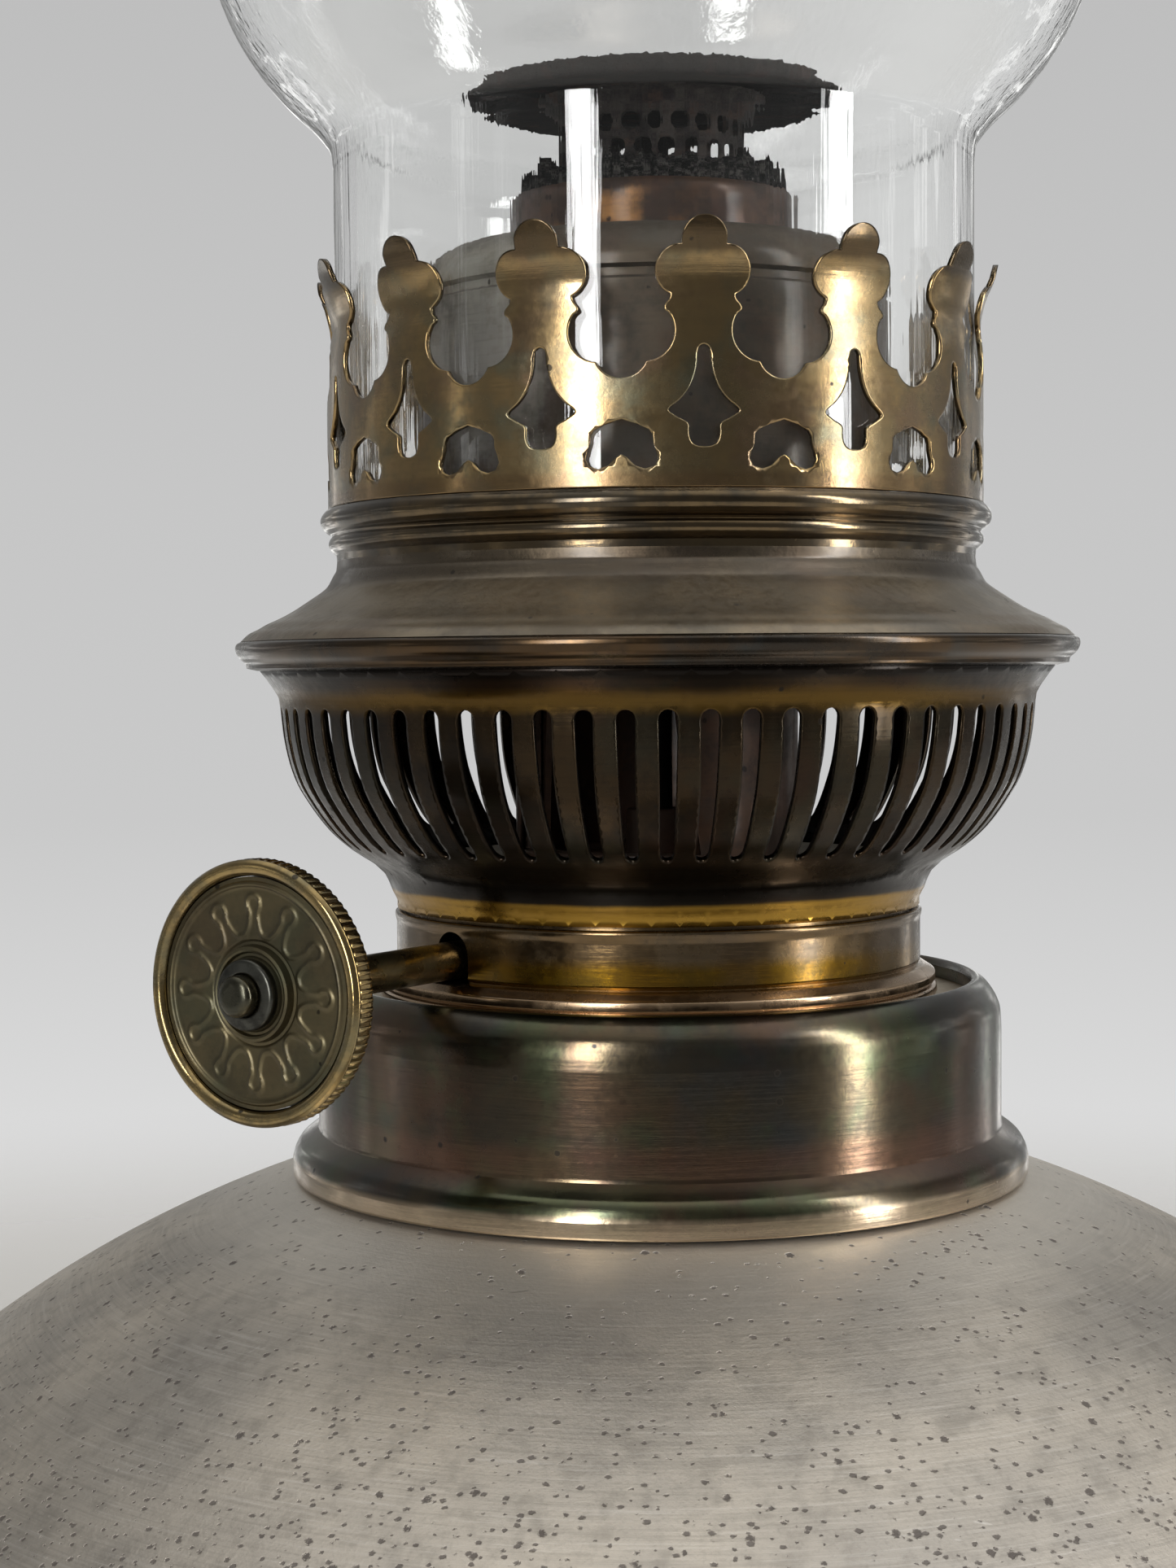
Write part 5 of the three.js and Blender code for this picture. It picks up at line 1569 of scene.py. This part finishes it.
@dataclass
class Wick(Assembly):
    """The woven tube, open below on the air window's side and charred at its top."""

    body = Body.WICK
    outer: float = 11.1
    inner: float = 9.9
    tail: float = 49.1
    top: float = 210.19
    closed: float = 184.89
    gap_half: float = math.radians(55.5)
    char_depth: float = 0.9
    rim_points: int = 280

    def pattern(self) -> list[Point]:
        """The flat outline of the tube with the gap in its lower part."""
        low = spaced(self.tail, self.closed, 30)
        seam = upright(math.pi, [*low[:-1], *spaced(self.closed, self.top, 12)])
        rim = [math.pi - 2 * math.pi * i / self.rim_points for i in range(1, self.rim_points)]
        gap = upright(-self.gap_half, low)
        return [
            *seam,
            *level(rim, self.top),
            *mirrored(seam),
            *level(spaced(-math.pi, -self.gap_half, 40)[1:-1], self.tail),
            *gap,
            *level(spaced(-self.gap_half, self.gap_half, 30)[1:-1], self.closed),
            *mirrored(gap),
            *level(spaced(self.gap_half, math.pi, 40)[1:-1], self.tail),
        ]

    def charred(self, x: float, y: float, z: float) -> Spot:
        """Where a point lies once the top has burnt to crumbs, which are drawn in on the outer face only."""
        near = max(0.0, 1 - (self.top - z) / self.char_depth)
        spot, radius = Vector((x, y, z)), math.hypot(x, y)
        lift = 2.0 * abs(noise.noise(spot * 1.7)) + 0.8 * noise.noise(spot * 0.45) - 0.1
        outside = (radius - self.inner) / (self.outer - self.inner)
        scale = (radius + near * outside * (0.45 * noise.noise(spot * 1.9) - 0.4)) / radius
        return (x * scale, y * scale, z + near * lift)

    def build(self) -> None:
        """Makes the wick."""
        faces = (straight(self.outer), straight(self.inner))
        form = Pierced(self.pattern(), [], math.pi, *faces, self.outer, grid=1.3, lip=0.3).form()
        form.vertices = [self.charred(*spot) for spot in form.vertices]
        mesh = self.repeat.repeated(form, "wick_mesh", 1, self.spindle.turn, self.finishes.cotton)
        self.seat(mesh, "wick", self.finishes.cotton, "wick_tail")


@dataclass
class Gallery(Assembly):
    """The cone, the bead, the seat for the glass and the crown of spring fingers."""

    body = Body.GALLERY
    fingers: int = 14
    turn: float = math.radians(-90 + 6.2)
    cone_sheet: float = 0.6
    seat_low: float = 182.49
    seat_high: float = 183.19
    crown_foot: float = 183.25
    crown_radius: float = 27.3
    crown_sheet: float = 0.45

    def cone(self) -> Form:
        """The concave cone from the rim to the bead."""
        outside = [
            (34.65, 172.4), (34.0, 173.0), (33.2, 173.4), (32.5, 173.8), (31.6, 174.2), (30.8, 174.6),
            (30.12, 175.0), (29.5, 175.4), (28.9, 175.8), (28.3, 176.2), (27.75, 176.6), (27.38, 177.0),
            (26.95, 177.8), (26.72, 178.2), (26.62, 178.95),
        ]
        return spun(sheet(flowing(outside, 4), self.cone_sheet))

    def bead(self) -> Form:
        """The large bead over a small one, with a groove between them."""
        small = [(26.9, 179.7), (27.18, 180.0), (27.3, 180.4), (27.2, 180.75), (27.02, 180.98)]
        large = [(27.1, 181.15), (27.6, 181.5), (27.9, 181.95), (27.95, 182.4), (27.75, 182.85)]
        large = flowing([*large, (27.42, self.seat_high)])
        inside = [(26.2, self.seat_high), (26.2, 178.95)]
        return spun([(26.62, 178.95), (26.66, 179.5), *flowing(small), *large, *inside])

    def _finger_edge(self, half: float) -> list[Point]:
        """The right edge of a finger, from the valley beside it up to its tip.

        Args:
            half: half the width of the repeat, in millimetres.

        Returns:
            The points of the edge.
        """
        bump = [(2.58, 12.75), (2.84, 12.92), (2.925, 13.15), (2.8, 13.42), (2.55, 13.7), (2.415, 14.1)]
        head = arc((1.749, 15.8), 1.826, -69, 93, 14)
        return [
            *arc((half, 10.03), 2.03, -90, -155.8, 9),
            *arc((4.42, 11.45), 2.255, -93.6, -215.3, 16)[1:],
            *flowing(bump, 3)[1:],
            *[p for p in head if p[1] > 14.15],
            (1.64, 17.7),
            *arc((0.0, 18.01), 1.64, 4, 90, 9),
        ]

    def crown(self) -> bpy.types.Mesh:
        """The band cut into spring fingers, with a spade under each finger and a heart between."""
        half = math.pi * self.crown_radius / self.fingers
        heart = [
            (0.0, 2.42), (0.4, 2.2), (1.0, 1.6), (1.75, 1.35), (2.45, 1.58), (2.72, 2.1), (2.55, 2.7),
            (2.33, 3.3), (2.3, 3.85), (2.05, 4.22), (1.2, 4.62), (0.0, 5.0),
        ]
        right = [
            *upright(half, [0.0, 0.13, 0.9, 1.7, 2.28]),
            *[(half - inset, y) for inset, y in heart],
            *upright(half, [5.14, 6.0, 7.0, 7.86]),
            *self._finger_edge(half),
        ]
        foot = level(spaced(-half, half, 16)[1:-1], 0.0)
        outline = [*right, *mirrored(right[:-1])[:-1], (-half, 0.0), *foot]
        leaf = [(0.5, 9.2), (0.72, 8.2), (1.15, 7.2), (1.8, 6.4), (2.5, 5.86), (2.68, 5.6)]
        stalk = [(2.55, 5.45), (1.9, 5.05), (1.35, 4.78), (1.15, 4.5), (1.16, 3.9), (0.95, 3.25)]
        stalk += [(0.45, 2.98), (0.0, 2.95)]
        spade = [*arc((0.0, 9.95), 0.46, 90, 0, 5), *flowing(leaf, 3), *flowing(stalk, 3)]
        hole = [*spade, *mirrored(spade[1:-1])]
        lean = [
            (0.0, 0.0), (11.5, 0.0), (12.8, -0.08), (14.0, -0.24), (15.0, -0.22), (16.0, 0.0), (16.9, 0.26),
            (17.3, 0.46), (18.4, 0.95), (19.65, 1.22),
        ]

        def wall(radius: float) -> Callable[[float], Point]:
            """The face of the crown that has a given radius in its band."""
            return lambda y: (radius + float(np.interp(y, *zip(*lean))), self.crown_foot + y)

        scale = 1 / self.crown_radius
        flat, cut = ([(x * scale, y) for x, y in loop] for loop in (outline, hole))
        faces = (wall(self.crown_radius), wall(self.crown_radius - self.crown_sheet))
        cell = Pierced(flat, [cut], math.pi / self.fingers, *faces, self.crown_radius, grid=0.5, lip=0.13)
        name, finish = "gallery_crown_mesh", self.finishes.crown
        return self.repeat.repeated(cell.form(), name, self.fingers, self.turn, finish)

    def build(self) -> None:
        """Makes the gallery's pieces."""
        f, low, high = self.finishes, self.seat_low, self.seat_high
        self.seat(self.cone(), "gallery_cone", f.cone)
        self.seat(self.bead(), "gallery_bead_ring", f.bead)
        seat = turned((20.1, low, 0.15), (25.9, low), (25.9, high), (20.1, high, 0.2))
        self.seat(seat, "chimney_seat_ring", f.bead)
        self.seat(self.crown(), "gallery_crown", f.crown)


@dataclass
class Chimney(Assembly):
    """The glass: a straight foot, a bulge round the flame and a long tube."""

    body = Body.CHIMNEY
    wall: float = 1.5
    foot: float = 183.49
    top: float = 432.89
    base_radius: float = 26.55
    tube_radius: float = 20.5
    edge_round: float = 0.6

    def build(self) -> None:
        """Makes the glass."""
        swell = [
            (self.base_radius, 211.2), (26.75, 212.8), (27.4, 213.9), (28.6, 215.3), (30.8, 217.4),
            (33.1, 220.2), (35.2, 224.0), (36.9, 229.5), (37.6, 236.8), (35.3, 244.8), (30.5, 251.5),
            (26.2, 256.4), (22.4, 261.4), (self.tube_radius + 0.4, 264.9), (self.tube_radius, 270.0),
        ]
        foot = upright(self.base_radius, [self.foot, 200.0])
        outside = [*foot, *flowing(swell, 5), *upright(self.tube_radius, [340.0, self.top])]
        inside = beside(outside, self.wall)
        inside[0] = (self.base_radius - self.wall, self.foot)
        inside[-1] = (self.tube_radius - self.wall, self.top)
        outline = [*outside, *reversed(inside)]
        for i in (0, len(outside) - 1, len(outside), -1):
            outline[i] = (*outline[i], self.edge_round)
        self.seat(turned(*outline), "glass_chimney", self.finishes.glass, "chimney_foot", "chimney_bulge")


@dataclass
class Spreader(Assembly):
    """The flame spreader: the disc, its pierced thimble and the stem that it stands on."""

    body = Body.SPREADER
    disc_radius: float = 15.7
    disc_under: float = 216.89
    disc_top: float = 218.49
    disc_bend: float = 15.3
    thimble_radius: float = 7.8
    thimble_sheet: float = 0.4
    thimble_foot: float = 201.59
    thimble_top: float = 216.75
    hole_radius: float = 0.76
    hole_rows: tuple[float, float] = (213.99, 211.89)
    hole_count: int = 24

    def charred(self, x: float, y: float, z: float) -> Spot:
        """Where a point of the disc lies once the edge has been eaten by the flame."""
        radius = math.hypot(x, y)
        near = max(0.0, (radius - 13.8) / 1.9)
        flat = Vector((x, y, 0.2 * z))
        bite = near * (0.08 * abs(noise.noise(flat * 0.5)) + 0.3 * abs(noise.noise(flat * 1.6)))
        scale = 1 - bite / max(radius, 1.0)
        return (x * scale, y * scale, z + near * 0.1 * noise.noise(Vector((x, y, z)) * 1.6))

    def disc(self) -> Form:
        """The slightly domed disc with a sooty, ragged edge."""
        low, top, bend = self.disc_under, self.disc_top, self.disc_bend
        edge = [(15.2, low), (15.55, 217.15), (self.disc_radius, 217.6), (15.6, 217.95), (bend, 218.1)]
        dome = [(r, top - 0.39 * (r / bend) ** 4) for r in (14.2, 12.5, 10.0, 7.0, 4.0, 0.0)]
        body = spun([*level([0.0, 5.0, 9.0, 12.0, 14.0], low), *flowing(edge, 4), *dome], 384)
        return Form([self.charred(*spot) for spot in body.vertices], body.faces)

    def thimble(self) -> bpy.types.Mesh:
        """The cup with two staggered rows of air holes under its flared mouth."""
        half_turn, radius, foot = math.pi / self.hole_count, self.thimble_radius, self.thimble_foot
        mouth = [(radius, 214.6), (8.0, 215.3), (8.5, 216.0), (9.5, self.thimble_top)]
        outer = along([(radius, foot + 0.3), *mouth])
        across = self.hole_radius / radius
        turns = np.linspace(0, 2 * math.pi, 14, endpoint=False)
        half_turns = np.linspace(-math.pi / 2, math.pi / 2, 8)
        hole = ellipse((0.0, self.hole_rows[0]), across, self.hole_radius, turns)
        right = [
            *upright(half_turn, [foot + 0.3, 204.0, 207.0, 209.5]),
            *ellipse((half_turn, self.hole_rows[1]), -across, self.hole_radius, half_turns),
            *upright(half_turn, [213.3, *(p[1] for p in mouth)]),
        ]

        def inner(y: float) -> Point:
            """The sheet's inner face."""
            return (outer(y)[0] - self.thimble_sheet, y)

        border = [*right, *mirrored(right)]
        cell = Pierced(border, [hole], half_turn, outer, inner, radius, grid=0.6, lip=0.12)
        shell = self.repeat.repeated(cell.form(), "thimble_shell", self.hole_count, 0.0, self.finishes.burnt)
        floor = turned((1.6, foot), (radius, foot, 0.4), (radius, 202.0), (1.6, 202.0), around=96)
        return joined_mesh(shell, floor, "spreader_thimble_mesh")

    def build(self) -> None:
        """Makes the spreader's pieces."""
        f = self.finishes
        self.seat(self.disc(), "flame_disc", f.soot)
        self.seat(self.thimble(), "spreader_thimble", f.burnt)
        stem = turned((0.0, 154.19), (1.3, 154.19, 0.3), (1.3, 216.8, 0.1), (0.0, 216.8), around=48)
        self.seat(stem, "spreader_stem", f.soot)


# Studio ---------------------------------------------------------------------


@dataclass(frozen=True)
class Strip:
    """An upright strip light a metre from the lamp, in metres, degrees and watts.

    The azimuth is its side, from the camera's side towards +X, and middle is the height of its middle.
    """

    name: str
    azimuth: float
    width: float
    height: float
    middle: float
    power: float

    def hang(self) -> None:
        """Adds the light to the scene."""
        data = bpy.data.lights.new(self.name, "AREA")
        data.shape = "RECTANGLE"
        data.size = self.width
        data.size_y = self.height
        data.energy = self.power
        made = placed(self.name, data)
        turn = math.radians(self.azimuth)
        made.location = Vector((math.sin(turn), -math.cos(turn), self.middle))
        aim = Vector((0.0, 0.0, 0.16)) - made.location
        made.rotation_euler = aim.to_track_quat("-Z", "Y").to_euler()
        made.visible_camera = False


@dataclass
class Studio:
    """The pale floor, the soft light and the camera at the photograph's angle."""

    camera_place: Spot = (-5.81, -215.7, 170.0)
    pitch_down: float = 2.59
    roll: float = -0.47
    focal_pixels: float = 3144.0
    picture_height: float = 1927.0
    sensor: float = 36.0
    floor_radius: float = 1200.0
    strips: tuple[Strip, ...] = (
        Strip("left_strip", azimuth=-25.0, width=0.17, height=0.74, middle=0.44, power=6.8),
        Strip("right_strip", azimuth=65.0, width=0.14, height=1.1, middle=0.45, power=8.0),
    )

    def camera(self) -> None:
        """Sets the camera where the photograph was taken from."""
        data = bpy.data.cameras.new("camera")
        data.sensor_fit = "VERTICAL"
        data.sensor_height = data.sensor_width = self.sensor
        data.lens = self.focal_pixels * self.sensor / self.picture_height
        data.clip_start = 0.001
        data.clip_end = 50.0
        tilt = Matrix.Rotation(math.radians(90 - self.pitch_down), 4, "X")
        lean = Matrix.Rotation(math.radians(self.roll), 4, "Z")
        made = placed("camera", data)
        made.matrix_world = Matrix.Translation(Vector(self.camera_place) * MM) @ tilt @ lean
        bpy.context.scene.camera = made

    def floor(self) -> None:
        """Lays a pale floor that fades out, so that it has no edge."""
        disc = spun([(0.0, -1.0), (self.floor_radius, -1.0), (self.floor_radius, -0.001), (0.0, -0.001)], 96)
        mesh = Form(disc.vertices, disc.faces).mesh("floor")
        material = bpy.data.materials.new("floor")
        material.use_nodes = True
        bench = Bench(material.node_tree)
        x, y, _ = bench.parts(bench.place())
        away = bench.maths("SQRT", x * x + y * y).rise(0.3, 0.8)
        glossy, through = bench.rays("Is Glossy Ray", "Is Transmission Ray")
        unlit = bench.maths("MAXIMUM", glossy * 0.2, through * 0.95) * (1 - y.rise(-0.3, -0.06))
        colour = bench.blend(unlit, (0.62, 0.6, 0.57, 1.0), (0.02, 0.02, 0.02, 1.0))
        pale = bench.shader(Base_Color=colour, Roughness=1.0, Specular_IOR_Level=0.0)
        clear = bench.node("ShaderNodeBsdfTransparent")
        bench.surface(bench.node("ShaderNodeMixShader", values={0: away, 1: pale, 2: clear}))
        mesh.materials.append(material)
        placed("floor", mesh)

    def world(self) -> None:
        """Surrounds the lamp with a pale backdrop, a bright wall behind it and a dark room in front."""
        world = bpy.data.worlds.new("studio")
        world.use_nodes = True
        bpy.context.scene.world = world
        bench = Bench(world.node_tree)
        way = bench.node("ShaderNodeTexCoord", output="Generated")
        x, y, z = bench.parts(way)
        greys = ((0.0, 0.76), (0.28, 0.7), (0.47, 0.585), (0.69, 0.565), (1.0, 0.515))
        stops = [(place, (v, v, v, 1.0)) for place, v in greys]
        seen = bench.node("ShaderNodeValToRGB", {"stops": stops}, {0: (z + 0.33) / 0.58})
        right = x.rise(0.2, 0.6) * z.rise(0.5, 0.78) * 0.5 + x.rise(0.85, 0.98) * z.rise(0.0, 0.15) * 0.15
        above = z.rise(0.65, 1.0) * 0.97 + right
        room = 0.12 + y.rise(-0.8, 0.1) * 0.07 + y.rise(0.1, 0.95) * 0.06 + above
        wander = bench.node(
            "ShaderNodeTexNoise",
            {"noise_dimensions": "3D"},
            {"Vector": way, "Scale": 2.6, "Detail": 3.0, "Roughness": 0.5, "Distortion": 0.6},
        )
        folds = 1 - bench.maths("ABSOLUTE", wander - 0.5).rise(0.0, 0.022)
        room = room + folds * 1.6 * y.rise(-0.75, -0.2) * (1 - z.rise(0.25, 0.38))
        mirrored_room = bench.node("ShaderNodeCombineColor", values={0: room, 1: room, 2: room * 0.98})
        lift = 1.07 + x.rise(0.0, 0.14) * 0.2
        brighter = bench.node("ShaderNodeVectorMath", {"operation": "SCALE"}, {0: seen, "Scale": lift})
        behind_glass = bench.blend(y.rise(-0.35, 0.2), mirrored_room, brighter)
        camera, glossy, through = bench.rays("Is Camera Ray", "Is Glossy Ray", "Is Transmission Ray")
        colour = bench.blend(glossy, (0.72, 0.72, 0.71, 1.0), mirrored_room)
        colour = bench.layered(colour, (through, behind_glass), (camera, seen))
        background = bench.node("ShaderNodeBackground", values={"Color": colour, "Strength": 1.0})
        bench.node("ShaderNodeOutputWorld", values={"Surface": background})

    def build(self) -> None:
        """Sets up the camera, the floor, the world and the lights."""
        self.camera()
        self.floor()
        self.world()
        for strip in self.strips:
            strip.hang()
        bpy.context.scene.view_settings.view_transform = "Standard"


def main() -> None:
    """Builds the lamp round its frame."""
    logging.basicConfig(level=logging.INFO, format="%(name)s: %(message)s")
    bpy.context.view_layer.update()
    finishes = Finishes()
    repeat = RoundRepeat("Round repeat")
    Studio().build()
    for part in (Fount, Burner, Winder, Wick, Gallery, Chimney, Spreader):
        part(finishes, repeat).build()


if __name__ == "__main__":
    main()
